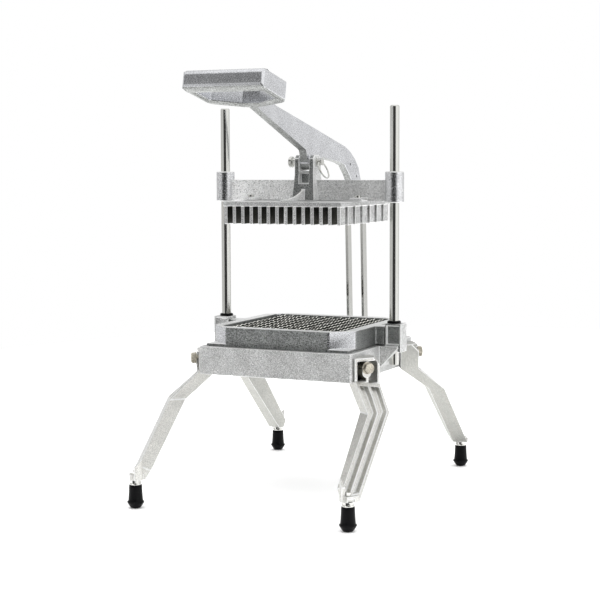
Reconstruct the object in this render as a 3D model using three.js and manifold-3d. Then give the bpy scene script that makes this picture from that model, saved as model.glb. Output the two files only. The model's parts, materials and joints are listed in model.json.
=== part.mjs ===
// Bench lettuce cutter: a cast base on four splayed legs carries two guide rods and a tray of scalloped
// blades. A fingered pusher head slides on the rods, driven by a long lever whose tail hangs on two
// link bars. Millimetres, +Z up, +X to the right, +Y to the rear.
import * as THREE from 'three';
import { mergeVertices } from 'three/addons/utils/BufferGeometryUtils.js';
import Module from 'manifold-3d';

const wasm = await Module();
wasm.setup();

// Shared working values
const weldDistance = 1e-4;
const overrun = 3; // how far a cutting body runs past the face it opens
const seat = 0.5; // how far two unioned bodies sink into each other
const pressGap = 0.1; // all round a pin, rod or stud that is pressed or screwed in
const runGap = 0.25; // all round a pin or rod that something turns or slides on
const sideGap = 0.3; // between flat faces that move past each other
const roundSides = 24;
const middleSides = 16;
const smallSides = 12;
const hexSides = 6;

// Feet and studs
const footSplayX = 39.45; // the feet stand this far outside the base casting
const footSplayY = 101.5;
const footHeight = 31;
const footTopRadius = 8.5;
const footWaistRadius = 9.6;
const footRidgeRadius = 11;
const footRidgeHeight = 7.6;
const footShoulder = 2.4; // height of the step above the ridge
const footToeRadius = 5.6;
const studRadius = 4;
const studFootDepth = 14; // how deep the stud sits in the rubber
const studBossDepth = 12; // how deep it is screwed into the leg
const studCollarRadius = 7.5;
const studCollarHeight = 2.2;
const studShow = 6; // bright gap between the rubber and the leg

// Base casting
const baseWidth = 222;
const baseDepth = 224;
const baseHeight = 37.6;
const baseBottom = 165.2; // above the floor
const baseCorner = 5;
const baseSideRail = 20;
const baseFrontRail = 21;
const baseWall = 5;
const baseDeck = 8;
const baseLip = 5;
const basePocketEnd = 23; // pockets under the deck run from here inside the base's side
const basePocketLength = 42;
const cornerSteps = 4;

// Side ears and rod towers of the base
const rodReach = 16; // from the base's side, as the ear's and the tower's are
const earReach = 26;
const earHalfDepth = 14;
const earEdge = 3;
const earDrop = 28;
const towerInnerReach = 7;
const towerOuterReach = 30;
const towerFront = 11.5;
const towerBack = 12;
const towerHeight = 30;
const towerRecess = 3;
const towerRim = 2.6;
const towerSkirt = 8; // the tower runs down past the deck outside the ear

// Guide rods and their rubber rings
const rodRadius = 6.35;
const rodRise = 74.7; // over the lever's pivot
const rodSeat = 26; // depth in the base below its top face
const rodChamfer = 1.4;
const bumperRadius = 9.2;
const bumperHeight = 3.6;
const bumperGroove = 1;

// Legs: outer face stations, seen on the leg at +X +Y
const legTurn = THREE.MathUtils.degToRad(34); // the outer face looks this far round from +X to +Y
const legOutX = 14.1; // bend line's middle, outside the base's side
const legInY = 22.6; // and inside its end
const legTopWidth = 39;
const legTopDepth = 26;
const legTopTilt = 6; // the bend line of the casting falls by this across the leg
const legKneeOut = 27.9; // from the bend line
const legKneeAlong = 30.1;
const legKneeHeight = 131;
const legKneeWidth = 33.6;
const legKneeDepth = 18;
const legEndOut = 30;
const legEndAlong = 129.9;
const legEndWidth = 28.6;
const legEndDepth = 16.6;
const legFront = 1.5; // from the stud's axis to the upright cut at the leg's foot
const legToe = 3; // from the stud's axis to the leg's upright side there
const legBossRadius = 10.6;
const legBossHeight = 18; // at the stud's axis, up to the slanted top
const legBossSlope = 1; // fall of that top per length outward
const legRib = 4;
const legRibs = 3;
const legSkin = 5;
const legGrooveShare = 0.905; // share of the lower run that is grooved
const legHeadHeight = 31.5; // upright block over the bend
const legHeadRoof = 4.5;
const legHeadCut = 11; // corner cut off towards the tower
const legBoltDrop = 18.8; // below the base's top face
const legBoltShift = 2; // towards the outer corner of the base
const legBoltBoss = 7;
const legBoltBossRise = 2;
const legBoltRadius = 4;
const legBoltLength = 30;
const boltHeadFlats = 13;
const boltHeadHeight = 5.3;
const washerRadius = 8;
const washerThick = 1.6;

// Blade tray
const trayInsetX = 7; // inside the base's side
const trayInsetY = 10;
const trayFlange = 3.6;
const trayHeight = 26.2;
const trayCutX = 29; // corner bevel of the wall
const trayCutY = 25;
const trayWallX = 15.5;
const trayWallY = 13.5;
const trayInnerCut = 6;
const trayLugRoom = 0.7; // lugs on the tray's sides stop this far short of the rod towers
const trayLugInset = 1.5; // and sit this far inside the towers' faces and over the base
const pegRadius = 3; // cast pegs on the base locate the tray
const pegHeight = 6;
const pegInset = 14; // inside the base's side
const pegReachY = 40;

// Blades
const bladesAcross = 13;
const bladesDeep = 6;
const bladeEndRoom = 0.8; // the outer cells are narrower by this in all
const bladeThick = 1;
const bladeHeight = 9;
const bladeWave = 1.8; // crest over trough
const bladeScallop = 12.7;
const bladeTopDrop = 1.2; // crest below the tray's rim
const scallopShares = [0, 0.5];
const scallopRise = [1, 0]; // shares of bladeWave

// Pusher head
const headEdgeX = 4.45; // of the plate, beyond the outer fingers' middles
const headEdgeY = 9.8;
const headPlateThick = 6.1;
const headPlateDrop = 58.5; // plate's underside below the lever's pivot
const headCorner = 3;
const fingerLength = 24.2;
const fingerWidth = 4.8;
const fingerDepth = 17;
const fingerColumns = 14;
const fingerRows = 7;

// Crossbeam
const beamThick = 8;
const beamHeight = 28;
const tubeRadius = 12.7;
const tubeDrop = 54.4; // below the pivot
const tubeHeight = 41.4;
const tubeChamfer = 0.8;
const sleeveRadius = 8.4;
const padHalfWidth = 9;
const padHalfDepth = 22;
const padHeight = 4.4;
const padInset = 7; // inside the plate's side
const screwReach = 14; // from the beam's middle plane
const screwRadius = 2.5;
const screwHeadRadius = 4.5;
const screwHeadHeight = 3.2;
const screwDepth = 9;
const socketRadius = 2.2;
const socketDepth = 1.8;

// Clevis on the crossbeam and its gussets
const pivotHeight = 449;
const clevisHalfWidth = 14.25;
const clevisFootWidth = 17;
const clevisHalfDepth = 12.6;
const clevisFootDepth = 17;
const clevisRise = 9.6; // over the pivot
const clevisCorner = 5;
const forkWidth = 14.5;
const forkDrop = 12; // these four below the pivot
const windowTopDrop = 15;
const windowDrop = 29;
const gussetDrop = 30;
const windowDepth = 7;
const gussetThick = 4;
const gussetEnd = 84; // along Y from the middle plane
const gussetEndHeight = 2.2;
const gussetSteps = 7;
const gussetCurve = 2.4; // power of the concave edge

// Clevis pin and its ring
const pinRadius = 4.75;
const pinHeadRadius = 7.5;
const pinHeadThick = 4.5;
const pinLeftReach = 22; // under the head, from the middle plane
const pinRightReach = 22.5;
const pinHoleReach = 18.4;
const pinHoleRadius = 1.9;
const ringRadius = 12.4;
const ringWire = 1.05;
const ringLean = THREE.MathUtils.degToRad(26); // it rests tipped away from the clevis
const ringSteps = 24;
const ringWireSides = 6;

// Lever: side outline in (Y, Z) from the pivot, from the handle's root round to the tail
const leverThick = 11;
const lugWidth = 13.9;
const lugRadius = 10.6;
const leverBushRadius = 6.8;
const handleLean = THREE.MathUtils.degToRad(12.4);
const neckTop = new THREE.Vector2(-166, 92);
const neckStepTop = new THREE.Vector2(-122, 82);
const neckStepFoot = new THREE.Vector2(-110, 73);
const armTop = new THREE.Vector2(17, 45);
const tailTop = new THREE.Vector2(119, 22);
const tailBend = new THREE.Vector2(136, 15.5);
const tailBack = new THREE.Vector2(154, 5);
const tailLow = new THREE.Vector2(168, -8);
const tailSide = new THREE.Vector2(176, -26);
const tailInner = new THREE.Vector2(144, -31);
const tailInnerBend = new THREE.Vector2(135, -20);
const tailRoot = new THREE.Vector2(116, -4.5);
const armFoot = new THREE.Vector2(95, 0);
const armLow = new THREE.Vector2(66, 3);
const lugBack = new THREE.Vector2(38, 7);
const lugFront = new THREE.Vector2(-18, 16.4);
const neckLow = new THREE.Vector2(-166, 69);
const tailHoleRadius = 2;
const tailHoles = [new THREE.Vector2(137, -3.2), new THREE.Vector2(160.7, -20.6)];

// D-handle: plan outline in (X, distance along the lever), cut from a leaning slab
const handleRoot = 178; // from the pivot to the rear wall's middle, along the lean
const handleLength = 92;
const handleHalfWidth = 55.5;
const handleHeight = 26;
const handleRise = 44.8; // slab's middle above the pivot line
const handleCornerFront = 9;
const handleRearHalf = 12;
const handleShoulder = 22; // the side walls end this far in front of the root
const barDepth = 15;
const sideWallThick = 9;
const rearWallThick = 12;
const handleBevel = 2.5;

// Link bars from the lever's tail to the rear bracket
const tailPivotY = 167;
const tailDrop = 40; // below the lever's pivot
const tailHubRadius = 11;
const tailHubWidth = 19.4;
const footPivotY = 177;
const footPivotZ = 190;
const linkInner = 10;
const linkThick = 4;
const linkHalfWidth = 7;
const linkPinRadius = 4;
const linkHeadRadius = 6.5;
const linkHeadHeight = 4;
const linkSpacerRadius = 6;

// Rear bracket
const bracketPlateHalf = 40;
const bracketPlateThick = 6;
const bracketPlateBottom = 168;
const bracketPlateTop = 200;
const cheekInner = 15;
const cheekThick = 5;
const cheekReach = 209; // along Y
const cheekTop = 203;
const cheekEndTop = 199;
const cheekBottom = 172;
const cheekRootBottom = 168;
const cheekEndCut = 15;
const cheekFloorThick = 4;
const cheekFloorReach = 150;
const bracketBoltReach = 30;
const bracketBoltHeight = 184;
const bracketBoltLength = 22;
const stubPinRadius = 5;
const stubHeadRadius = 7;
const stubHeadHeight = 3;

// Values that follow from the ones above
const baseTop = baseBottom + baseHeight;
const baseSide = baseWidth / 2;
const baseEnd = baseDepth / 2;
const rodX = baseSide + rodReach;
const rodTop = pivotHeight + rodRise;
const towerTop = baseTop + towerHeight;
const footX = baseSide + footSplayX;
const footY = baseEnd + footSplayY;
const legFaceX = baseSide + legOutX;
const legFaceY = baseEnd - legInY;
const legBottom = footHeight + studShow;
const trayHalfWidth = baseSide - trayInsetX;
const trayHalfDepth = baseEnd - trayInsetY;
const trayTop = baseTop + trayHeight;
const openingX = trayHalfWidth - trayWallX;
const openingY = trayHalfDepth - trayWallY;
const bladePitch = (2 * openingX + bladeEndRoom) / (bladesAcross + 1);
const rowPitch = (2 * openingY + bladeEndRoom) / (bladesDeep + 1);
const headPlateWidth = (fingerColumns - 1) * bladePitch + 2 * headEdgeX;
const headPlateDepth = (fingerRows - 1) * rowPitch + 2 * headEdgeY;
const headPlateBottom = pivotHeight - headPlateDrop;
const headPlateTop = headPlateBottom + headPlateThick;
const padReach = headPlateWidth / 2 - padInset;
const tubeBottom = pivotHeight - tubeDrop;
const tailPivotZ = pivotHeight - tailDrop;
const linkOuter = linkInner + linkThick;
const cheekOuter = cheekInner + cheekThick;
const outward = new THREE.Vector3(Math.cos(legTurn), Math.sin(legTurn), 0);
const along = new THREE.Vector3(Math.sin(legTurn), -Math.cos(legTurn), 0);

const finishes = {
  casting: { color: 0xb4b6b6, roughness: 0.5, metalness: 0.85 },
  stainless: { color: 0xc9cbcd, roughness: 0.22, metalness: 1 },
  blade: { color: 0xa9acae, roughness: 0.3, metalness: 1 },
  zinc: { color: 0xc8c2b2, roughness: 0.4, metalness: 0.9 },
  bronze: { color: 0x9c7a45, roughness: 0.45, metalness: 0.9 },
  rubber: { color: 0x1c1a1b, roughness: 0.8, metalness: 0 },
};

// Turns a three.js geometry into a solid: normals and uv dropped, vertices welded, slivers left out.
function solidOf(geometry) {
  const bare = new THREE.BufferGeometry();
  bare.setAttribute('position', geometry.getAttribute('position').clone());
  if (geometry.index) bare.setIndex(geometry.index.clone());
  const welded = mergeVertices(bare, weldDistance);
  const corners = Array.from(welded.index.array);
  const kept = [];
  for (let i = 0; i < corners.length; i += 3) {
    const [a, b, c] = corners.slice(i, i + 3);
    if (a !== b && b !== c && c !== a) kept.push(a, b, c);
  }
  return new wasm.Manifold(new wasm.Mesh({
    numProp: 3,
    vertProperties: new Float32Array(welded.getAttribute('position').array),
    triVerts: new Uint32Array(kept),
  }));
}

// Turns a solid back into a flat-shaded three.js geometry.
function geometryOf(solid) {
  const mesh = solid.getMesh();
  const indexed = new THREE.BufferGeometry();
  indexed.setAttribute('position', new THREE.BufferAttribute(new Float32Array(mesh.vertProperties), 3));
  indexed.setIndex(new THREE.BufferAttribute(new Uint32Array(mesh.triVerts), 1));
  const geometry = indexed.toNonIndexed();
  geometry.computeVertexNormals();
  return geometry;
}

function unite(solids) {
  return solids.reduce((whole, piece) => whole.add(piece));
}

function block(x0, x1, y0, y1, z0, z1) {
  const geometry = new THREE.BoxGeometry(x1 - x0, y1 - y0, z1 - z0);
  geometry.translate((x0 + x1) / 2, (y0 + y1) / 2, (z0 + z1) / 2);
  return solidOf(geometry);
}

// A round, hexagonal or other regular bar between two points.
function bar(radius, from, to, sides) {
  const axis = to.clone().sub(from);
  const geometry = new THREE.CylinderGeometry(radius, radius, axis.length(), sides);
  const turn = new THREE.Quaternion().setFromUnitVectors(new THREE.Vector3(0, 1, 0), axis.clone().normalize());
  geometry.applyQuaternion(turn);
  const middle = from.clone().add(to).divideScalar(2);
  geometry.translate(middle.x, middle.y, middle.z);
  return solidOf(geometry);
}

function barX(radius, x0, x1, y, z, sides) {
  return bar(radius, new THREE.Vector3(x0, y, z), new THREE.Vector3(x1, y, z), sides);
}

function barZ(radius, x, y, z0, z1, sides) {
  return bar(radius, new THREE.Vector3(x, y, z0), new THREE.Vector3(x, y, z1), sides);
}

// A body turned about Z from a profile of [radius, height] pairs.
function turned(profile, sides) {
  const points = profile.map(([radius, height]) => new THREE.Vector2(radius, height));
  const geometry = new THREE.LatheGeometry(points, sides);
  geometry.rotateX(Math.PI / 2);
  return solidOf(geometry);
}

// An outline in (X, Y), raised from z0 to z1.
function raised(outline, z0, z1) {
  const geometry = new THREE.ExtrudeGeometry(new THREE.Shape(outline), {
    depth: z1 - z0,
    bevelEnabled: false,
  });
  geometry.translate(0, 0, z0);
  return solidOf(geometry);
}

// An outline in (Y, Z), run from x0 to x1.
function sideways(outline, x0, x1) {
  const geometry = new THREE.ExtrudeGeometry(new THREE.Shape(outline), {
    depth: x1 - x0,
    bevelEnabled: false,
  });
  const basis = new THREE.Matrix4().makeBasis(
    new THREE.Vector3(0, 1, 0),
    new THREE.Vector3(0, 0, 1),
    new THREE.Vector3(1, 0, 0),
  );
  geometry.applyMatrix4(basis);
  geometry.translate(x0, 0, 0);
  return solidOf(geometry);
}

// An outline in (X, Z), run from y1 down to y0.
function lengthways(outline, y0, y1) {
  const geometry = new THREE.ExtrudeGeometry(new THREE.Shape(outline), {
    depth: y1 - y0,
    bevelEnabled: false,
  });
  geometry.rotateX(Math.PI / 2);
  geometry.translate(0, y1, 0);
  return solidOf(geometry);
}

// A body through a row of convex rings of 3-D points, all with the same count.
function lofted(rings) {
  const count = rings[0].length;
  const places = rings.flat().flatMap((point) => [point.x, point.y, point.z]);
  const index = [];
  for (let r = 0; r + 1 < rings.length; r += 1) {
    for (let i = 0; i < count; i += 1) {
      const a = r * count + i;
      const b = r * count + ((i + 1) % count);
      index.push(a, b, b + count, a, b + count, a + count);
    }
  }
  const last = (rings.length - 1) * count;
  for (let i = 1; i + 1 < count; i += 1) {
    index.push(0, i + 1, i);
    index.push(last, last + i, last + i + 1);
  }
  const geometry = new THREE.BufferGeometry();
  geometry.setAttribute('position', new THREE.Float32BufferAttribute(places, 3));
  geometry.setIndex(index);
  return solidOf(geometry);
}

function mirrored(geometry, signX, signY) {
  const copy = geometry.clone();
  copy.scale(signX, signY, 1);
  if (signX * signY < 0) {
    const array = copy.getAttribute('position').array;
    for (let i = 0; i < array.length; i += 9) {
      for (let k = 0; k < 3; k += 1) {
        [array[i + 3 + k], array[i + 6 + k]] = [array[i + 6 + k], array[i + 3 + k]];
      }
    }
  }
  copy.computeVertexNormals();
  return copy;
}

function roundedRectangle(width, depth, radius) {
  const corners = [[1, -1, -1], [1, 1, 0], [-1, 1, 1], [-1, -1, 2]];
  const outline = [];
  for (const [sx, sy, quarter] of corners) {
    for (let i = 0; i <= cornerSteps; i += 1) {
      const angle = (quarter + i / cornerSteps) * (Math.PI / 2);
      const x = sx * (width / 2 - radius) + radius * Math.cos(angle);
      const y = sy * (depth / 2 - radius) + radius * Math.sin(angle);
      outline.push(new THREE.Vector2(x, y));
    }
  }
  return outline;
}

function polygon(pairs) {
  return pairs.map(([a, b]) => new THREE.Vector2(a, b));
}

function part(name, solid, finish) {
  const mesh = new THREE.Mesh(geometryOf(solid), new THREE.MeshStandardMaterial(finishes[finish]));
  mesh.name = name;
  return mesh;
}

// Base casting with its ears and rod towers

function towerSolid() {
  const towerInner = baseSide + towerInnerReach;
  const towerOuter = baseSide + towerOuterReach;
  const body = block(
    towerInner, towerOuter, -towerFront, towerBack, baseTop - seat, towerTop,
  );
  const skirt = block(
    baseSide + earReach - seat, towerOuter, -towerFront, towerBack, baseTop - towerSkirt, baseTop,
  );
  const recess = block(
    towerInner + towerRim, towerOuter - towerRim, -towerFront - overrun, -towerFront + towerRecess,
    baseTop + towerRim, towerTop - towerRim,
  );
  return body.add(skirt).subtract(recess);
}

function earSolid() {
  const outline = polygon([
    [baseSide - seat, baseTop],
    [baseSide - seat, baseTop - earDrop],
    [baseSide + earEdge, baseTop - earDrop],
    [baseSide + earReach, baseTop - earEdge],
    [baseSide + earReach, baseTop],
  ]);
  return lengthways(outline, -earHalfDepth, earHalfDepth);
}

function legBoltLine() {
  const face = new THREE.Vector3(legFaceX, legFaceY, baseTop - legBoltDrop);
  face.addScaledVector(along, -legBoltShift);
  return face;
}

function baseCasting() {
  const frame = raised(roundedRectangle(baseWidth, baseDepth, baseCorner), baseBottom, baseTop);
  const opening = block(
    baseSideRail - baseSide, baseSide - baseSideRail, baseFrontRail - baseEnd, baseEnd - baseFrontRail,
    baseBottom - overrun, baseTop + overrun,
  );
  let body = frame.subtract(opening);
  const pocketFar = baseSide - basePocketEnd;
  const pocketInner = baseEnd - baseFrontRail + baseLip;
  const pocketOuter = baseEnd - baseWall;
  for (const sx of [-1, 1]) {
    for (const sy of [-1, 1]) {
      const xs = [sx * (pocketFar - basePocketLength), sx * pocketFar].sort((a, b) => a - b);
      const ys = [sy * pocketInner, sy * pocketOuter].sort((a, b) => a - b);
      const pocket = block(xs[0], xs[1], ys[0], ys[1], baseBottom - overrun, baseTop - baseDeck);
      body = body.subtract(pocket);
    }
  }
  const side = towerSolid().add(earSolid());
  const sideGeometry = geometryOf(side);
  body = body.add(side).add(solidOf(mirrored(sideGeometry, -1, 1)));
  for (const sx of [-1, 1]) {
    const socket = barZ(
      rodRadius + pressGap, sx * rodX, 0, baseTop - rodSeat, towerTop + overrun, roundSides,
    );
    body = body.subtract(socket);
  }
  const face = legBoltLine();
  const inner = face.clone().addScaledVector(outward, -legBoltLength);
  const drill = geometryOf(bar(legBoltRadius + pressGap, inner, face, smallSides));
  for (const sx of [-1, 1]) {
    for (const sy of [-1, 1]) {
      body = body.subtract(solidOf(mirrored(drill, sx, sy)));
    }
  }
  const boltEnd = baseEnd - bracketBoltLength + bracketPlateThick;
  for (const x of [-bracketBoltReach, bracketBoltReach]) {
    const from = new THREE.Vector3(x, boltEnd, bracketBoltHeight);
    const to = new THREE.Vector3(x, baseEnd + overrun, bracketBoltHeight);
    body = body.subtract(bar(legBoltRadius + pressGap, from, to, smallSides));
  }
  for (const sx of [-1, 1]) {
    body = body.add(barZ(
      pegRadius, sx * (baseSide - pegInset), pegReachY, baseTop - seat, baseTop + pegHeight, smallSides,
    ));
  }
  return part('base_casting', body, 'casting');
}

// Legs

// One level of the leg: a rectangle given by its outer face's middle, tilted across the leg.
function legRing(face, width, depth, tilt) {
  const ring = [];
  for (const [side, back] of [[-1, 0], [-1, 1], [1, 1], [1, 0]]) {
    const point = face.clone();
    point.addScaledVector(along, (side * width) / 2);
    point.addScaledVector(outward, -back * depth);
    point.z -= (side * tilt) / 2;
    ring.push(point);
  }
  return ring;
}

const legTop = new THREE.Vector3(legFaceX, legFaceY, baseBottom + legHeadHeight);
const legBend = new THREE.Vector3(legFaceX, legFaceY, baseBottom);
const legKnee = new THREE.Vector3(legFaceX + legKneeOut, legFaceY + legKneeAlong, legKneeHeight);
const legEnd = new THREE.Vector3(legFaceX + legEndOut, legFaceY + legEndAlong, legBottom);

// One of the two long grooves between the rib and a side plate, from the bend down to the boss.
function legGroove(side) {
  const levels = [
    [legKnee.clone().lerp(legEnd, legGrooveShare), legEndWidth, legKneeDepth, 0],
    [legKnee.clone(), legKneeWidth, legKneeDepth, 0],
    [legBend.clone().setZ(baseBottom - legSkin), legTopWidth, legKneeDepth, legTopTilt],
  ];
  return lofted(levels.map(([face, width, depth, tilt]) => {
    const grooveWidth = (width - legRibs * legRib) / 2;
    const shift = (side * (grooveWidth + legRib)) / 2;
    face.addScaledVector(along, shift).addScaledVector(outward, overrun);
    face.z -= (tilt * shift) / width;
    return legRing(face, grooveWidth, depth - legSkin + overrun, (tilt * grooveWidth) / width);
  }));
}

// The pockets in the upright block, and its corner cut away beside the rod tower.
function legHeadCuts() {
  const pocketWidth = (legTopWidth - legRibs * legRib) / 2;
  const cuts = [-1, 1].map((side) => {
    const shift = (side * (pocketWidth + legRib)) / 2;
    const face = legBend.clone().addScaledVector(along, shift).addScaledVector(outward, overrun);
    const roof = face.clone().setZ(legTop.z - legHeadRoof);
    face.z -= (legTopTilt * shift) / legTopWidth;
    return lofted([
      legRing(face, pocketWidth, legTopDepth + overrun, 0),
      legRing(roof, pocketWidth, legTopDepth + overrun, 0),
    ]);
  });
  const corner = legTop.clone().addScaledVector(along, legTopWidth / 2);
  const middle = new THREE.Vector3();
  const toward = [along, outward, new THREE.Vector3(0, 0, 1)];
  for (const axis of toward) {
    middle.add(corner.clone().addScaledVector(axis, -legHeadCut));
  }
  middle.divideScalar(toward.length);
  const reach = 2 * legHeadCut;
  const beyond = corner.clone().sub(middle).setLength(reach).add(middle);
  cuts.push(bar(reach, middle, beyond, hexSides));
  return unite(cuts);
}

// The upright boss for the foot stud, with a top that slants down away from the base.
function legBossSolid() {
  const axis = new THREE.Vector3(footX, footY, legBottom);
  const boss = barZ(legBossRadius, footX, footY, legBottom, baseBottom, middleSides);
  const reach = 2 * legBossRadius;
  const edge = (side, out, rise) => {
    const point = axis.clone().addScaledVector(along, side * reach).addScaledVector(outward, out * reach);
    point.z += rise;
    return point;
  };
  const ring = (low) => [[-1, 1], [-1, -1], [1, -1], [1, 1]].map(([side, out]) => (
    edge(side, out, low ? -overrun : legBossHeight - out * legBossSlope * reach)
  ));
  return boss.intersect(lofted([ring(true), ring(false)]));
}

function legSolid() {
  const column = lofted([
    legRing(legEnd, legEndWidth, legEndDepth, 0),
    legRing(legKnee, legKneeWidth, legKneeDepth, 0),
    legRing(legBend, legTopWidth, legTopDepth, legTopTilt),
    legRing(legTop, legTopWidth, legTopDepth, 0),
  ]);
  const frontCut = block(0, footX + footY, footY + legFront, footX + footY, 0, baseBottom);
  const toe = new THREE.Vector3(footX, footY, 0).addScaledVector(outward, legTopDepth);
  toe.addScaledVector(along, -legToe - legTopWidth / 2);
  const sideCut = lofted([
    legRing(toe, legTopWidth, 2 * legTopDepth, 0),
    legRing(toe.clone().setZ(legKneeHeight), legTopWidth, 2 * legTopDepth, 0),
  ]);
  const bolt = legBoltLine();
  const boltFoot = bolt.clone().addScaledVector(outward, -legTopDepth);
  const boltFace = bolt.clone().addScaledVector(outward, legBoltBossRise);
  let leg = column.subtract(frontCut).subtract(sideCut);
  leg = leg.subtract(legGroove(-1)).subtract(legGroove(1)).subtract(legHeadCuts());
  leg = leg.add(bar(legBoltBoss, boltFoot, boltFace, smallSides)).add(legBossSolid());
  const bolted = boltFace.clone().addScaledVector(outward, overrun);
  leg = leg.subtract(bar(legBoltRadius + pressGap, boltFoot, bolted, smallSides));
  const studTop = legBottom + studBossDepth;
  leg = leg.subtract(
    barZ(studRadius + pressGap, footX, footY, legBottom - overrun, studTop, smallSides),
  );
  const baseRoom = block(
    -baseWidth, baseSide, -baseDepth, baseEnd + legTopDepth, baseBottom, legTop.z + overrun,
  );
  return leg.subtract(baseRoom);
}

// The four copies of a piece made for the corner at +X +Y.
function fourCorners(name, solid, finish) {
  const geometry = geometryOf(solid);
  const places = [
    ['front_left', -1, -1],
    ['front_right', 1, -1],
    ['rear_left', -1, 1],
    ['rear_right', 1, 1],
  ];
  return places.map(([place, sx, sy]) => (
    part(`${name}_${place}`, solidOf(mirrored(geometry, sx, sy)), finish)
  ));
}

function legBoltSolid() {
  const seatFace = legBoltLine().addScaledVector(outward, legBoltBossRise);
  const tip = seatFace.clone().addScaledVector(outward, -legBoltLength);
  const flangeTop = seatFace.clone().addScaledVector(outward, washerThick);
  const top = flangeTop.clone().addScaledVector(outward, boltHeadHeight);
  const shank = bar(legBoltRadius, tip, flangeTop, smallSides);
  const flange = bar(washerRadius, seatFace, flangeTop, middleSides);
  const hex = bar(boltHeadFlats / Math.sqrt(3), seatFace, top, hexSides);
  return unite([shank, flange, hex]);
}

// Feet

function footSolid() {
  const bore = studRadius + pressGap;
  const profile = [
    [0, 0],
    [footToeRadius, 0],
    [footRidgeRadius, footRidgeHeight],
    [footRidgeRadius, footRidgeHeight + footShoulder / 2],
    [footWaistRadius, footRidgeHeight + footShoulder],
    [footTopRadius, footHeight],
    [bore, footHeight],
    [bore, footHeight - studFootDepth],
    [0, footHeight - studFootDepth],
  ];
  return solidOf(geometryOf(turned(profile, middleSides)).translate(footX, footY, 0));
}

function footStudSolid() {
  const bottom = footHeight - studFootDepth;
  const stud = barZ(studRadius, footX, footY, bottom, legBottom + studBossDepth, smallSides);
  const collar = barZ(
    studCollarRadius, footX, footY, footHeight, footHeight + studCollarHeight, middleSides,
  );
  const nut = barZ(
    boltHeadFlats / Math.sqrt(3), footX, footY, footHeight + studCollarHeight - seat, legBottom, hexSides,
  );
  return unite([stud, collar, nut]);
}

// Guide rods and the rubber rings that stop the head

function guideRod(name, sx) {
  const bottom = baseTop - rodSeat;
  const profile = [
    [0, 0],
    [rodRadius, 0],
    [rodRadius, rodTop - bottom - rodChamfer],
    [rodRadius - rodChamfer, rodTop - bottom],
    [0, rodTop - bottom],
  ];
  const mesh = part(name, turned(profile, roundSides), 'stainless');
  mesh.position.set(sx * rodX, 0, bottom);
  return mesh;
}

function rodBumper(name, sx) {
  const bore = rodRadius + pressGap;
  const profile = [
    [bore, 0],
    [bumperRadius, 0],
    [bumperRadius, bumperHeight - bumperGroove],
    [bumperRadius - bumperGroove, bumperHeight],
    [bore, bumperHeight],
    [bore, 0],
  ];
  const mesh = part(name, turned(profile, roundSides), 'rubber');
  mesh.position.set(sx * rodX, 0, towerTop);
  return mesh;
}

// Blade tray and the two layers of blades

function bevelledRectangle(halfX, halfY, cutX, cutY) {
  return polygon([
    [halfX - cutX, -halfY],
    [halfX, cutY - halfY],
    [halfX, halfY - cutY],
    [halfX - cutX, halfY],
    [cutX - halfX, halfY],
    [-halfX, halfY - cutY],
    [-halfX, cutY - halfY],
    [cutX - halfX, -halfY],
  ]);
}

function bladeTray() {
  const flange = block(-trayHalfWidth, trayHalfWidth, -trayHalfDepth, trayHalfDepth, 0, trayFlange);
  const wall = raised(
    bevelledRectangle(trayHalfWidth, trayHalfDepth, trayCutX, trayCutY), trayFlange - seat, trayHeight,
  );
  const opening = raised(
    bevelledRectangle(openingX, openingY, trayInnerCut, trayInnerCut), -overrun, trayHeight + overrun,
  );
  const lug = [trayHalfWidth - seat, baseSide + towerInnerReach - trayLugRoom];
  const sides = [-1, 1].map((sx) => {
    const xs = lug.map((x) => sx * x).sort((a, b) => a - b);
    return block(
      xs[0], xs[1], trayLugInset - towerFront, towerBack - trayLugInset, trayLugInset, trayHeight,
    );
  });
  let tray = unite([flange, wall, ...sides]).subtract(opening);
  for (const sx of [-1, 1]) {
    tray = tray.subtract(barZ(
      pegRadius + runGap, sx * (baseSide - pegInset), pegReachY, -overrun, pegHeight + sideGap, smallSides,
    ));
  }
  const mesh = part('blade_tray', tray, 'casting');
  mesh.position.z = baseTop;
  return mesh;
}

// Outline of one scalloped blade in (length, height), crest line at zero height.
function bladeOutline(halfLength) {
  const outline = [new THREE.Vector2(-halfLength, -bladeHeight), new THREE.Vector2(halfLength, -bladeHeight)];
  const waves = Math.round((2 * halfLength) / bladeScallop);
  const pitch = (2 * halfLength) / waves;
  for (let i = 0; i < waves; i += 1) {
    scallopShares.forEach((share, k) => {
      const x = halfLength - (i + share) * pitch;
      outline.push(new THREE.Vector2(x, (scallopRise[k] - 1) * bladeWave));
    });
  }
  outline.push(new THREE.Vector2(-halfLength, 0));
  return outline;
}

function bladesLengthwise() {
  const outline = bladeOutline(openingY);
  const blade = sideways(outline, -bladeThick / 2, bladeThick / 2);
  const blades = [];
  for (let i = 0; i < bladesAcross; i += 1) {
    const mesh = part(`blade_lengthwise_${i + 1}`, blade, 'blade');
    const x = (i - (bladesAcross - 1) / 2) * bladePitch;
    mesh.position.set(x, 0, trayTop - bladeTopDrop);
    blades.push(mesh);
  }
  return blades;
}

function bladesCrosswise() {
  const outline = bladeOutline(openingX);
  const blade = lengthways(outline, -bladeThick / 2, bladeThick / 2);
  const blades = [];
  for (let i = 0; i < bladesDeep; i += 1) {
    const mesh = part(`blade_crosswise_${i + 1}`, blade, 'blade');
    const y = (i - (bladesDeep - 1) / 2) * rowPitch;
    mesh.position.set(0, y, trayTop - bladeTopDrop - bladeHeight - sideGap);
    blades.push(mesh);
  }
  return blades;
}

// Pusher head: everything from here to the clevis pin sits in a group on the plate's underside

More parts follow.
